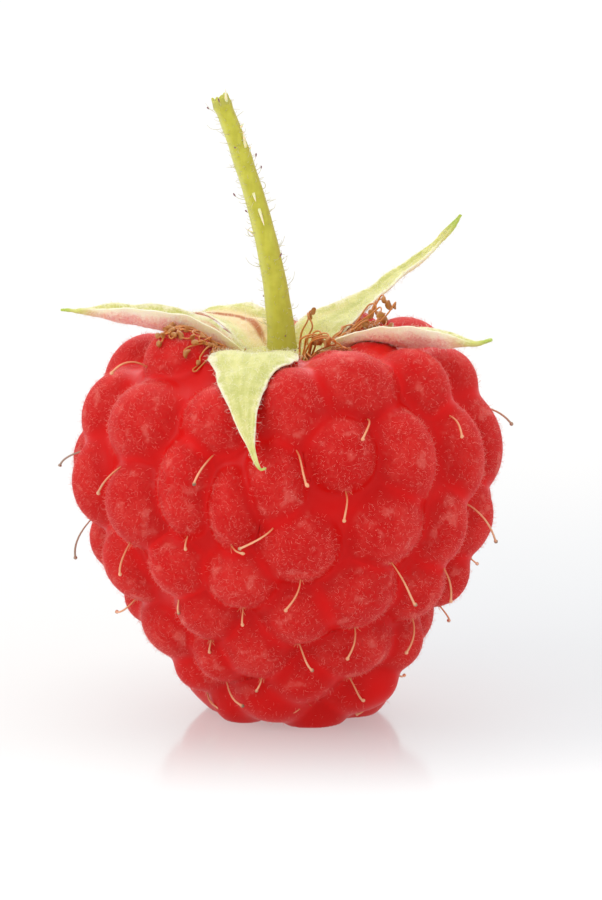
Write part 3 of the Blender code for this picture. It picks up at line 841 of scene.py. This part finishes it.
def sepal_outer(recipe, numbers, mottle, fine, streak):
    """Pale green felt with streaks; the half flushed one is tan with a brown crease."""
    across, blush = numbers["across"], numbers["blush"]
    margin = across.absolute()
    felt = recipe.mix((0.50, 0.51, 0.15), (0.68, 0.66, 0.27),
                      recipe.ramp(mottle * 0.5 + streak * 0.5, 0.36, 0.62))
    # Painted highlight: small pale flecks on the felt.
    felt = recipe.mix(felt, (0.80, 0.77, 0.46), recipe.ramp(fine, 0.50, 0.75) * 0.5)
    felt = recipe.mix(felt, (0.72, 0.34, 0.24), recipe.ramp(streak, 0.60, 0.68) * blush
                      * recipe.ramp(margin, 0.15, 0.5) * 0.7)
    half_flushed = recipe.ramp(blush, 0.3, 0.5) * recipe.fade(blush, 0.7, 0.9)
    crease = recipe.ramp(1.0 - (across + 0.12).absolute(), 0.84, 0.97)
    felt = recipe.mix(felt, (0.84, 0.56, 0.34),
                      half_flushed * recipe.ramp(1.0 - margin, 0.2, 0.8) * 0.7)
    return recipe.mix(felt, (0.44, 0.15, 0.05), half_flushed * crease)


def sepal_inner(recipe, numbers, mottle, fine, place):
    """Flushed and freckled, cream at its margin and green towards its tip."""
    along, blush = numbers["along"], numbers["blush"]
    felt = recipe.mix((0.80, 0.36, 0.32), (0.90, 0.66, 0.58),
                      recipe.ramp(mottle * 0.4 + fine * 0.6, 0.38, 0.62))
    felt = recipe.mix(felt, (0.42, 0.05, 0.05),
                      recipe.ramp(recipe.noise(place, 0.16 * MM, 2.0), 0.66, 0.74) * 0.8)
    cream = recipe.ramp(numbers["across"].absolute() + (mottle - 0.5) * 0.6, 0.62, 0.95)
    felt = recipe.mix(felt, (0.90, 0.82, 0.72), cream * 0.8 * recipe.fade(along, 0.60, 0.78))
    felt = recipe.mix((0.80, 0.74, 0.42), felt, (blush * 1.4).clamped())
    return recipe.mix(felt, (0.60, 0.64, 0.20), recipe.ramp(along, 0.60, 0.80))


def sepal_felt(recipe, place):
    """Both faces, with a whitish woolly edge, a green tip and an olive foot."""
    numbers = {name: recipe.attribute(name) for name in ("along", "across", "under", "blush")}
    along, margin = numbers["along"], numbers["across"].absolute()
    mottle = recipe.noise(place, 0.55 * MM, 4.0, 0.65)
    fine = recipe.noise(place, 0.10 * MM, 3.0, 0.7)
    lengthwise = recipe.node("ShaderNodeCombineXYZ", None, {
        "X": numbers["across"] * 3.2, "Y": along * 2.6, "Z": numbers["blush"] * 9.0})
    streak = recipe.noise(lengthwise, 1.0, 3.0, 0.6)
    felt = recipe.mix(sepal_outer(recipe, numbers, mottle, fine, streak),
                      sepal_inner(recipe, numbers, mottle, fine, place), numbers["under"])
    edge = recipe.ramp(margin + (mottle - 0.5) * 0.5 + (fine - 0.5) * 0.3, 0.80, 1.04)
    felt = recipe.mix(felt, (0.86, 0.82, 0.62), edge * 0.85 * recipe.fade(along, 0.64, 0.84))
    felt = recipe.mix(felt, (0.40, 0.52, 0.10),
                      recipe.ramp(along + (mottle - 0.5) * 0.10, 0.84, 0.96))
    felt = recipe.mix(felt, (0.52, 0.44, 0.09), recipe.fade(along, 0.02, 0.20) * 0.55)
    return {"Base Color": felt, "Normal": recipe.bump(fine + streak * 0.6, 0.5, 0.05 * MM)}


SEPAL_FELT = finish("sepal_felt", {
    "Roughness": 0.75, "Specular IOR Level": 0.25, "Subsurface Weight": 0.35,
    "Subsurface Scale": 0.5 * MM, "Subsurface Radius": (1.0, 0.9, 0.35),
    "Sheen Weight": 0.25, "Sheen Roughness": 0.5, "Sheen Tint": (1.0, 1.0, 0.9, 1.0)}, sepal_felt)
calyx_disc.data.materials.append(SEPAL_FELT)
settle(calyx_disc, "sepal_felt", "calyx_disc")

# ---------------------------------------------------------------- sepals
# Five pointed sepals leave the disc and lie over the crown. Each is a thin folded leaf of felt,
# green outside, flushed pink inside, with a woolly white margin and a green tip.
SEPAL_WALL = 0.22 * MM
SEPAL_ROWS = 90
SEPAL_COLUMNS = 26
SEPAL_CLEAR = 0.14 * MM           # how far a sepal's middle surface stays off the drupelets
SEPAL_WAVE = 0.09 * MM            # how far a sepal undulates
SEPAL_RAGGED = 0.07               # how uneven its margin is, as a share of its half width
UP = np.array([0.0, 0.0, 1.0])
# Every sepal's points: from the disc to the tip, and from one margin (-1) to the other (1).
sepal_across, sepal_along = np.meshgrid(
    np.sin(np.linspace(-1, 1, SEPAL_COLUMNS + 1) * math.pi / 2), np.linspace(0, 1, SEPAL_ROWS))
# Azimuth in degrees, flush, and roll in degrees, which lifts the half on the second side. Then the
# stations from the disc to the tip, in mm: distance out from the axis, height over the table,
# drift to the side, half width on the one side and on the other (the second is the one clockwise
# from above), and how far the margins turn up.
SEPALS = {
    "sepal_front": (-17, 0.0, 0, [
        (2.3, 18.4, -0.3, 1.9, 1.5, 0.0), (3.6, 19.1, -0.1, 2.2, 1.9, -0.1),
        (5.0, 19.5, 0.1, 2.35, 2.35, -0.25), (6.1, 19.6, 0.3, 2.25, 2.1, -0.3),
        (7.2, 19.2, 0.5, 1.75, 1.45, -0.2), (8.5, 18.5, 0.7, 1.35, 0.95, -0.1),
        (9.6, 17.7, 1.0, 0.85, 0.68, 0.0), (10.4, 16.8, 1.3, 0.45, 0.42, 0.05),
        (10.9, 16.1, 1.6, 0.22, 0.22, 0.0), (11.2, 15.5, 1.9, 0.14, 0.14, 0.0),
        (11.4, 15.15, 2.2, 0.09, 0.09, 0.0), (11.5, 15.2, 2.5, 0.06, 0.06, 0.0)]),
    "sepal_left": (-88, 1.0, 5, [
        (2.0, 18.5, 0.3, 1.3, 0.9, 0.3), (2.9, 18.9, 0.3, 1.6, 1.2, 0.7),
        (4.2, 19.5, 0.2, 1.75, 1.45, 1.0), (5.9, 20.1, 0.1, 1.5, 1.4, 1.05),
        (8.0, 20.65, 0.0, 0.95, 1.05, 0.75), (9.7, 21.1, 0.0, 0.45, 0.5, 0.3),
        (10.4, 21.2, 0.05, 0.2, 0.2, 0.05), (11.1, 21.35, 0.1, 0.08, 0.08, 0.0)]),
    "sepal_back_left": (-146, 0.6, -4, [
        (2.1, 18.4, -0.3, 1.3, 1.3, 0.2), (3.3, 18.85, -0.7, 1.5, 1.5, 0.35),
        (4.7, 19.3, -0.9, 1.55, 1.6, 0.45), (6.0, 19.55, -0.6, 1.35, 1.4, 0.45),
        (7.2, 19.5, -0.2, 1.0, 1.0, 0.35), (8.3, 19.2, 0.2, 0.7, 0.7, 0.2),
        (9.2, 18.8, 0.5, 0.3, 0.3, 0.0), (9.8, 18.4, 0.7, 0.08, 0.08, 0.0)]),
    "sepal_back_right": (129, 0.1, 0, [
        (2.1, 18.4, 0.1, 1.6, 2.2, 0.25), (3.9, 19.2, 0.6, 1.5, 2.05, 0.45),
        (6.0, 19.85, 1.0, 1.05, 1.15, 0.4), (7.6, 20.4, 1.4, 0.75, 0.7, 0.3),
        (9.2, 21.05, 1.6, 0.58, 0.55, 0.25), (10.4, 21.75, 1.4, 0.48, 0.45, 0.2),
        (11.3, 22.35, 1.1, 0.24, 0.24, 0.08), (11.8, 23.05, 0.7, 0.32, 0.30, 0.12),
        (12.2, 23.85, 0.15, 0.06, 0.06, 0.0)]),
    "sepal_right": (75, 1.0, -12, [
        (2.1, 18.4, 0.0, 0.9, 0.7, 0.2), (3.4, 18.8, 0.0, 1.1, 0.7, 0.6),
        (4.8, 18.95, 0.0, 1.3, 0.75, 0.9), (6.5, 19.0, 0.0, 1.35, 0.75, 1.0),
        (7.9, 19.05, 0.0, 1.15, 0.7, 0.85), (9.4, 19.0, 0.0, 0.7, 0.5, 0.45),
        (10.2, 19.1, 0.1, 0.3, 0.3, 0.15), (10.9, 19.3, 0.1, 0.1, 0.1, 0.0)]),
}


def clear_of_fruit(spots, clearance):
    """Spots that are in the fruit, or nearer than this, moved straight out of it."""
    spots = spots.copy()
    for _ in range(4):
        gap = clearance - skin(spots)
        close = np.flatnonzero(gap > 0)
        way = slope(skin, spots[close])
        way /= np.linalg.norm(way, axis=1)[:, None]
        spots[close] += way * gap[close, None]
    return spots


def bearings(azimuth):
    """The ways outwards and sideways at an azimuth in degrees, upright."""
    angle = math.radians(azimuth)
    return (np.array([math.sin(angle), -math.cos(angle), 0.0]),
            np.array([math.cos(angle), math.sin(angle), 0.0]))


def sheet_normals(sheet):
    normals = np.cross(np.gradient(sheet, axis=0), np.gradient(sheet, axis=1))
    return normals / np.linalg.norm(normals, axis=2)[:, :, None]


def sepal_sheet(azimuth, roll, stations, seed):
    """A smooth folded sheet that rests on the fruit, and its half width at each point."""
    out, height, drift, one_half, other_half, cup = (smooth_values(stations, SEPAL_ROWS) * MM).T
    radial, side = bearings(azimuth)
    spine = out[:, None] * radial + drift[:, None] * side + height[:, None] * UP
    ahead = np.gradient(spine, axis=0)
    rise = np.cross(ahead, side)
    rise /= np.linalg.norm(rise, axis=1)[:, None]
    roll = math.radians(roll) * np.sin(np.linspace(0.12, 1, SEPAL_ROWS) * math.pi)[:, None]
    wide, rise = side * np.cos(roll) + rise * np.sin(roll), rise * np.cos(roll) - side * np.sin(roll)
    across = sepal_across[0]
    half = np.where(across < 0, one_half[:, None], other_half[:, None])
    rough = lumps(np.stack([sepal_along * 9, np.sign(sepal_across), sepal_along * 0],
                           axis=-1).reshape(-1, 3), 1.6, seed).reshape(sepal_along.shape)
    half = half * (1 + SEPAL_RAGGED * rough)
    sheet = (spine[:, None, :] + wide[:, None, :] * (half * across)[:, :, None]
             + rise[:, None, :] * (cup[:, None] * across ** 2)[:, :, None])
    spots = leaning(sheet.reshape(-1, 3))
    spots[:, 2] += lumps(spots, 1.9 * MM, seed + 1) * SEPAL_WAVE
    return clear_of_fruit(spots, SEPAL_CLEAR).reshape(sheet.shape), half


def sepal_faces():
    """Quads of the upper and the under face, and of the rim between them."""
    wide, count = SEPAL_COLUMNS + 1, SEPAL_ROWS * (SEPAL_COLUMNS + 1)
    i, j = np.meshgrid(np.arange(SEPAL_ROWS - 1), np.arange(SEPAL_COLUMNS), indexing="ij")
    first = (i * wide + j).ravel()
    quads = np.stack([first, first + 1, first + wide + 1, first + wide], axis=1)
    rim = ([row * wide for row in range(SEPAL_ROWS)]
           + [(SEPAL_ROWS - 1) * wide + column for column in range(1, wide)]
           + [row * wide + wide - 1 for row in range(SEPAL_ROWS - 2, -1, -1)]
           + list(range(wide - 2, 0, -1)))
    rim_faces = [(a, b, b + count, a + count) for a, b in zip(rim, rim[1:] + rim[:1])]
    return quads.tolist() + (quads[:, ::-1] + count).tolist() + rim_faces


def faced_out(piece):
    """The piece with its faces turned outwards."""
    mesh = bmesh.new()
    mesh.from_mesh(piece.data)
    bmesh.ops.recalc_face_normals(mesh, faces=mesh.faces)
    mesh.to_mesh(piece.data)
    mesh.free()
    return piece


def make_sepal(name, azimuth, blush, roll, stations, seed):
    """A closed thin shell over the sheet, veined above and thin at its margins."""
    sheet, half = sepal_sheet(azimuth, roll, stations, seed)
    normals = sheet_normals(sheet)
    if normals[:, :, 2].mean() < 0:
        normals = -normals
    grain = lumps(sheet.reshape(-1, 3), 0.33 * MM, seed + 2).reshape(sepal_along.shape)
    veins = np.cos(sepal_across * math.pi * 3.5) * 0.5 + np.exp(-(sepal_across / 0.09) ** 2) * 0.8
    wall = SEPAL_WALL * (0.35 + 0.65 * (1 - sepal_across ** 4)) * np.minimum(
        1.0, 0.45 + half / (0.5 * MM))
    top = sheet + normals * (wall / 2 + (grain * 0.018 - veins * 0.02) * MM)[:, :, None]
    low = sheet - normals * (wall / 2 + grain * 0.015 * MM)[:, :, None]
    along, across = sepal_along.ravel(), sepal_across.ravel()
    both = {"along": along, "across": across, "blush": np.full(along.size, blush),
            "thick": 0.30 + 0.70 * np.abs(across) ** 4 * (1 - along)}
    numbers = {key: np.concatenate([values, values]) for key, values in both.items()}
    numbers["under"] = np.repeat([0.0, 1.0], along.size)
    piece = plain_mesh(name + "_leaf", np.concatenate([top.reshape(-1, 3), low.reshape(-1, 3)]),
                       sepal_faces(), numbers)
    faced_out(piece).data.materials.append(SEPAL_FELT)
    settle(piece, "sepal_felt", name)
    return piece


def white_wool(recipe, place):
    return {"Base Color": recipe.mix((0.90, 0.86, 0.62), (1.0, 0.96, 0.90),
                                     recipe.noise(place, 0.4 * MM))}


WOOL = finish("sepal_wool", {"Roughness": 0.6, "Specular IOR Level": 0.3}, white_wool)
sepal_wool = growth("sepal_wool", HAIR_SIZES, WOOL, down)
WOOL_SIZES = dict(zip(HAIR_SIZES, (5.0e7, 0.24 * MM, 0.006 * MM, 0.0, 40 * MM)))
for seed, (name, (azimuth, blush, roll, stations)) in enumerate(SEPALS.items(), start=21):
    leaf = make_sepal(name, azimuth, blush, roll, stations, seed)
    settle(grow(name + "_wool", leaf, sepal_wool, WOOL_SIZES), "sepal_felt")
settle(grow("calyx_wool", calyx_disc, sepal_wool, WOOL_SIZES), "sepal_felt")

# ---------------------------------------------------------------- stamens
# Dried stamens left in the gaps between the sepals: hooked glossy brown filaments rooted on the
# rim of the disc, each with a shrunken bean-shaped anther.
FILAMENT_RADIUS = 0.045 * MM
ANTHER_SIZE = (0.25 * MM, 0.15 * MM, 0.13 * MM)
FILAMENT_CLEAR = 0.10 * MM        # how far a filament's middle stays off the drupelets
FILAMENT_POINTS = 16
HOOK_POINTS = 8
# Azimuth of the roots, azimuth and spread of the anthers in degrees, how many, how far out the
# anthers reach, how high they stand over the disc, from and to, and how high their filaments arch
# before them, in mm.
STAMEN_CLUSTERS = [
    (-78, -68, 14, 13, (4.9, 6.7), (1.3, 2.0), 1.3),
    (-62, -54, 16, 12, (4.3, 5.9), (0.5, 1.8), 1.0),
    (-48, -42, 8, 4, (5.2, 6.2), (-0.8, -0.1), 0.2),
    (28, 38, 14, 7, (3.2, 4.3), (1.1, 1.9), 1.9),
    (30, 36, 34, 6, (3.1, 4.4), (0.3, 1.0), 0.8),
    (100, 106, 30, 26, (3.4, 6.3), (0.5, 1.6), 1.0),
    (98, 97, 20, 6, (4.4, 6.3), (2.0, 2.7), 1.0),
    (150, 146, 8, 2, (2.3, 2.7), (1.4, 1.8), 1.2),
    (182, 186, 20, 4, (2.4, 3.2), (0.2, 0.6), 0.4),
    (-118, -118, 14, 5, (3.4, 5.0), (0.4, 1.2), 0.7)]

vary = random.Random(23)
filaments = Threads()


def wavering(path, side):
    """The path with a few uneven waves, sideways and upwards."""
    waves = np.linspace(0, 1, len(path)) * vary.uniform(5.0, 9.0)
    path += np.outer(np.sin(waves), side) * vary.uniform(0.04, 0.13) * MM
    path += np.outer(1 - np.cos(waves * 1.3), UP) * vary.uniform(0.0, 0.07) * MM
    return path


def hooked(path, side):
    """The path with a hook curled on at its end."""
    ahead = (path[-1] - path[-2]) / np.linalg.norm(path[-1] - path[-2])
    twist = side * vary.uniform(-1, 1) - UP * vary.uniform(0.2, 1.0)
    twist -= ahead * (twist @ ahead)
    twist /= np.linalg.norm(twist)
    curl, swing = vary.uniform(0.14, 0.30) * MM, vary.uniform(1.6, 4.0)
    arc = np.linspace(0, swing, HOOK_POINTS + 1)[1:, None]
    hook = path[-1] + ahead * np.sin(arc) * curl + twist * (1 - np.cos(arc)) * curl
    return np.vstack([path, hook])


for hidden, azimuth, spread, count, (near, far), (low, high), arch in STAMEN_CLUSTERS:
    for _ in range(count):
        start = bearings(hidden + vary.uniform(-7, 7))[0]
        radial, side = bearings(azimuth + spread * (vary.random() - 0.5))
        reach, rise = vary.uniform(near, far) * MM, vary.uniform(low, high) * MM
        root = start * CALYX_RADIUS * vary.uniform(0.82, 0.98) + UP * disc_top
        end = radial * reach + UP * (disc_top + rise)
        over = start * (reach * 0.8) + UP * (disc_top + (arch + vary.uniform(-0.3, 0.3)) * MM)
        over += side * vary.uniform(-0.5, 0.5) * MM
        path = bend(root, over, end, np.linspace(0, 1, FILAMENT_POINTS))
        path = clear_of_fruit(leaning(hooked(wavering(path, side), side)), FILAMENT_CLEAR)
        filaments.add(path, np.linspace(1.25, 0.75, len(path)) * FILAMENT_RADIUS, 0.7)


def dried_brown(recipe, place):
    """Orange brown threads, darker anthers, mottled."""
    mottle = recipe.noise(place, 0.25 * MM, 3.0, 0.6)
    thread = recipe.mix((0.42, 0.12, 0.016), (0.72, 0.28, 0.06), mottle)
    anther = recipe.mix((0.28, 0.09, 0.014), (0.60, 0.26, 0.065), mottle)
    ends = recipe.ramp(recipe.attribute("along"), 0.80, 0.95)
    return {"Base Color": recipe.mix(thread, anther, ends),
            "Normal": recipe.bump(recipe.noise(place, 0.08 * MM, 2.0), 0.6, 0.03 * MM)}


STAMEN_THREAD = finish("stamen_thread", {"Roughness": 0.40, "Specular IOR Level": 0.5,
                                         "Subsurface Weight": 0.15,
                                         "Subsurface Scale": 0.1 * MM}, dried_brown)


def anthers(recipe, inlet):
    """A bent bean on each point of the base, turned its own way."""
    bean = recipe.node("GeometryNodeMeshIcoSphere", None, {"Radius": 1.0, "Subdivisions": 3})
    place = recipe.node("GeometryNodeInputPosition")
    split = recipe.node("ShaderNodeSeparateXYZ", None, {"Vector": place})
    long, wide = split.out("X"), split.out("Y")
    sag = recipe.node("ShaderNodeCombineXYZ", None,
                      {"Z": long * long * -0.9, "Y": wide * long.absolute() * 0.25})
    bean = recipe.node("GeometryNodeSetPosition", None, {"Geometry": bean, "Offset": sag})
    bean = recipe.node("GeometryNodeTransform", None, {"Geometry": bean, "Scale": ANTHER_SIZE})
    turn = recipe.node("FunctionNodeRandomValue", {"data_type": "FLOAT_VECTOR"},
                       {"Min": (0.0, 0.0, 0.0), "Max": (6.28, 6.28, 6.28), "Seed": 2})
    turn = recipe.node("FunctionNodeEulerToRotation", None, {"Euler": turn})
    return recipe.node("GeometryNodeInstanceOnPoints", None, {
        "Points": inlet, "Instance": bean, "Rotation": turn,
        "Scale": scattered(recipe, 0.7, 1.15, 4)})


filaments.settle("filaments", STAMEN_THREAD, "stamen_thread", *solids("stamen_"))
tips = plain_mesh("anther_places", np.array([path[-1] for path in filaments.paths]),
                  np.zeros((0, 3), int), {"along": np.ones(len(filaments.paths))})
settle(grow("anthers", tips, growth("anthers", [], STAMEN_THREAD, anthers), {}), "stamen_thread")
bpy.data.objects.remove(tips, do_unlink=True)

# ---------------------------------------------------------------- stem
# The cut stem: a green stalk, flared at the calyx and swept to one side, with faint ribs, small
# pale prickles, fine hairs, some tipped with purple glands, and a torn top.
STEM_LENGTH = 13.3 * MM
STEM_RADIUS = 0.66 * MM
STEM_TOP_RADIUS = 0.44 * MM
STEM_FLARE = 0.19 * MM
STEM_FLARE_HEIGHT = 1.5 * MM
STEM_SWEEP = 2.6 * MM
STEM_STRAIGHT = 0.45
STEM_RINGS = 170
STEM_SPOKES = 56
TORN_SHARE = 0.985                # the share of the stem above which its top is torn
TORN_DEPTH = 0.055 * MM
CUT_RINGS = [(0.80, 0.03), (0.6, 0.16), (0.35, 0.12), (0.12, 0.2)]  # share out, mm down

stem_foot = np.array([0.0, 0.0, disc_top])
stem_knee = stem_foot + np.array([0.0, 0.0, STEM_LENGTH * STEM_STRAIGHT])
stem_tip = stem_foot + np.array([-STEM_SWEEP, 0.0, STEM_LENGTH])


def stem_frames(shares):
    """Centre, direction and two cross directions of the stem, upright, at these shares of it."""
    spine = bend(stem_foot, stem_knee, stem_tip, shares)
    ahead = (bend(stem_foot, stem_knee, stem_tip, np.asarray(shares) + 0.001)
             - bend(stem_foot, stem_knee, stem_tip, np.asarray(shares) - 0.001))
    ahead /= np.linalg.norm(ahead, axis=1)[:, None]
    front = np.tile([0.0, -1.0, 0.0], (len(spine), 1))
    return spine, ahead, np.cross(front, ahead), front


def stem_skin(shares, angles):
    """Points on the stem's skin and the ways out of it, at these shares and angles."""
    spine, _, right, front = stem_frames(shares)
    flare = STEM_FLARE * np.exp(-np.asarray(shares) * STEM_LENGTH / STEM_FLARE_HEIGHT)
    radius = STEM_RADIUS + (STEM_TOP_RADIUS - STEM_RADIUS) * np.asarray(shares) + flare
    out = -right * np.sin(angles)[:, None] + front * np.cos(angles)[:, None]
    rib = 1 + 0.018 * np.cos(5 * angles + 3 * np.asarray(shares))
    return spine + out * (radius * rib)[:, None], out


shares = np.linspace(0.0, 1.0, STEM_RINGS)
angles = np.linspace(0, 2 * math.pi, STEM_SPOKES, endpoint=False)
grid_share, grid_angle = np.meshgrid(shares, angles, indexing="ij")
grid_share, grid_angle = grid_share.ravel(), grid_angle.ravel()
points, out = stem_skin(grid_share, grid_angle)
points += out * (lumps(points * [1, 1, 0.3], 0.7 * MM, 8) * 0.022 * MM)[:, None]
torn = (1.1 + np.sin(grid_angle * 3 + 1) + 0.7 * np.sin(grid_angle * 7 + 2)
        + 0.5 * np.sin(grid_angle * 13)) * TORN_DEPTH
last = grid_share > TORN_SHARE
points[last, 2] += ((grid_share[last] - TORN_SHARE) / (1 - TORN_SHARE)) * torn[last]
swell = 1 + 0.12 * np.exp(-((grid_share - 0.975) / 0.012) ** 2)
middle_line = stem_frames(grid_share)[0]
points = middle_line + (points - middle_line) * swell[:, None]
rings = [points.reshape(STEM_RINGS, STEM_SPOKES, 3)]
top_middle = stem_frames([1.0])[0][0]
for inset, sink in CUT_RINGS:
    ring = top_middle + (rings[0][-1] - top_middle) * [inset, inset, 1.0]
    ring[:, 2] -= (sink + 0.05 * np.sin(angles * 9 + inset * 20)) * MM * 0.9
    rings.append(ring[None])
count = STEM_RINGS + len(CUT_RINGS)
stem_faces = ring_faces(count, STEM_SPOKES).tolist()
stem_faces.append(list(range(STEM_SPOKES))[::-1])
stem_faces.append([(count - 1) * STEM_SPOKES + i for i in range(STEM_SPOKES)])
# around runs from -1 on the stem's left to 1 on its right; the finish paints light and shade with
# it.
stem = faced_out(plain_mesh(
    "stem", leaning(np.concatenate(rings).reshape(-1, 3)), stem_faces,
    {"along": np.repeat(np.append(shares, np.ones(len(CUT_RINGS))), STEM_SPOKES),
     "around": np.tile(np.sin(angles), count)}))


def stem_skin_colour(recipe, place):
    """Yellow green, with painted light along its left side and painted shade in olive brown along
    its right; olive and brownish at the foot.
    """
    along, around = recipe.attribute("along"), recipe.attribute("around")
    long = recipe.node("ShaderNodeMapping", None, {"Vector": place, "Scale": (1.0, 1.0, 0.12)})
    fibre = recipe.noise(long, 0.22 * MM, 3.0, 0.6)
    speck = recipe.noise(place, 0.5 * MM, 3.0)
    green = recipe.mix((0.46, 0.44, 0.030), (0.57, 0.55, 0.060),
                       recipe.ramp(fibre * 0.35 + speck * 0.65, 0.30, 0.70))
    # Painted light: a lighter strip down the stem's left side.
    green = recipe.mix(green, (0.66, 0.66, 0.20), recipe.ramp(0.0 - around, 0.2, 0.9) * 0.6)
    # Painted shade: olive brown down the stem's right side.
    green = recipe.mix(green, (0.42, 0.32, 0.03), recipe.ramp(around, 0.50, 1.0) * 0.5)
    green = recipe.mix(green, (0.36, 0.32, 0.03), recipe.fade(along, 0.0, 0.30) * 0.6)
    green = recipe.mix(green, (0.40, 0.38, 0.07), recipe.ramp(along, 0.965, 0.985) * 0.7)
    return {"Base Color": green, "Normal": recipe.bump(fibre + speck * 0.5, 0.4, 0.04 * MM)}


STEM_SKIN = finish("stem_skin", {
    "Roughness": 0.45, "Specular IOR Level": 0.4, "Subsurface Weight": 0.4,
    "Subsurface Scale": 0.5 * MM, "Subsurface Radius": (0.9, 1.0, 0.2)}, stem_skin_colour)
stem.data.materials.append(STEM_SKIN)
settle(stem, "stem_skin", "peduncle")

# Prickles: share of the stem's height, angle round it in degrees (0 faces the front, 90 the
# right), length in mm, and how much each leans up along the stem.
PRICKLES = [(0.985, 40, 0.75, 1.8), (0.82, 50, 0.95, 3.2), (0.60, 8, 0.9, -2.6),
            (0.66, 2, 0.45, -2.6), (0.885, 78, 0.35, 0.6), (0.80, 84, 0.3, 1.2),
            (0.35, 200, 0.6, 1.5), (0.72, 160, 0.7, -1.5), (0.50, 250, 0.5, 1.0)]
PRICKLE_RADIUS = 0.10 * MM
PRICKLE_POINTS = 8
prickles = Threads()
for share, turn, length, climb in PRICKLES:
    root, out = stem_skin([share], np.array([math.radians(turn)]))
    way = out[0] + stem_frames([share])[1][0] * climb
    way = way / np.linalg.norm(way) * length * MM
    start = root[0] - out[0] * 0.06 * MM
    path = bend(start, start + way * 0.5, start + way, np.linspace(0, 1, PRICKLE_POINTS))
    prickles.add(leaning(path), np.linspace(1.0, 0.06, PRICKLE_POINTS) ** 0.8 * PRICKLE_RADIUS)


def prickle_cream(recipe, place):
    return {"Base Color": recipe.mix((0.80, 0.76, 0.36), (0.95, 0.82, 0.66),
                                     recipe.attribute("along"))}


PRICKLE = finish("prickle", {"Roughness": 0.4, "Subsurface Weight": 0.3,
                             "Subsurface Scale": 0.2 * MM}, prickle_cream)
prickles.settle("prickles", PRICKLE, "stem_skin")

STEM_HAIRS = 420
HAIR_POINTS = 10
GLAND_RADII = np.array([0.03, 0.045, 0.02]) * MM
vary = random.Random(31)
stem_hairs = Threads()
for number in range(STEM_HAIRS):
    share, turn = vary.uniform(0.02, 0.99), vary.uniform(0, 2 * math.pi)
    long_one, gland = number % 6 == 0, number % 30 == 0
    length = vary.uniform(0.45, 1.0) if long_one else vary.uniform(0.16, 0.42)
    root, out = stem_skin([share], np.array([turn]))
    ahead = stem_frames([share])[1][0]
    side = np.cross(ahead, out[0])
    start = root[0] - out[0] * 0.02 * MM
    way = out[0] + ahead * vary.uniform(-0.3, 0.5) + side * vary.uniform(-0.3, 0.3)
    curl = ahead * vary.uniform(-0.4, 1.2) + side * vary.uniform(-0.5, 0.5) - out[0] * 0.2
    path = bend(start, start + way * length * MM * 0.6,
                start + (way * 0.8 + curl * 0.5) * length * MM, np.linspace(0, 1, HAIR_POINTS))
    radii = np.linspace(0.015, 0.006, HAIR_POINTS) * MM * (1.0 if long_one else 0.85)
    if gland:
        radii[-len(GLAND_RADII):] = GLAND_RADII
    stem_hairs.add(leaning(path), radii, 1.0 if gland else 0.5)
# Two longer hairs are curled round, one into a ring: share of the height, turn round the stem,
# size in mm, and how far the curl goes.
for share, turn, size, swing in ((0.66, 1.45, 0.20, 5.4), (0.50, -1.5, 0.24, 3.2)):
    root, out = stem_skin([share], np.array([turn]))
    ahead = stem_frames([share])[1][0]
    arc = np.linspace(0, swing, 14)[:, None]
    path = root[0] + (out[0] * np.sin(arc) + ahead * (1 - np.cos(arc))) * size * MM
    path[:, 1] += np.linspace(0, -0.1, 14) * MM
    stem_hairs.add(leaning(path), np.linspace(0.020, 0.012, 14) * MM, 0.6)


def stem_hair(recipe, place):
    """Pale, turning purplish at a gland."""
    return {"Base Color": recipe.mix((0.58, 0.54, 0.30), (0.24, 0.10, 0.12),
                                     recipe.ramp(recipe.attribute("along"), 0.55, 0.85))}


STEM_HAIR = finish("stem_hair", {"Roughness": 0.45, "Specular IOR Level": 0.4}, stem_hair)
stem_hairs.settle("stem_hairs", STEM_HAIR, "stem_skin")

low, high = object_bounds()
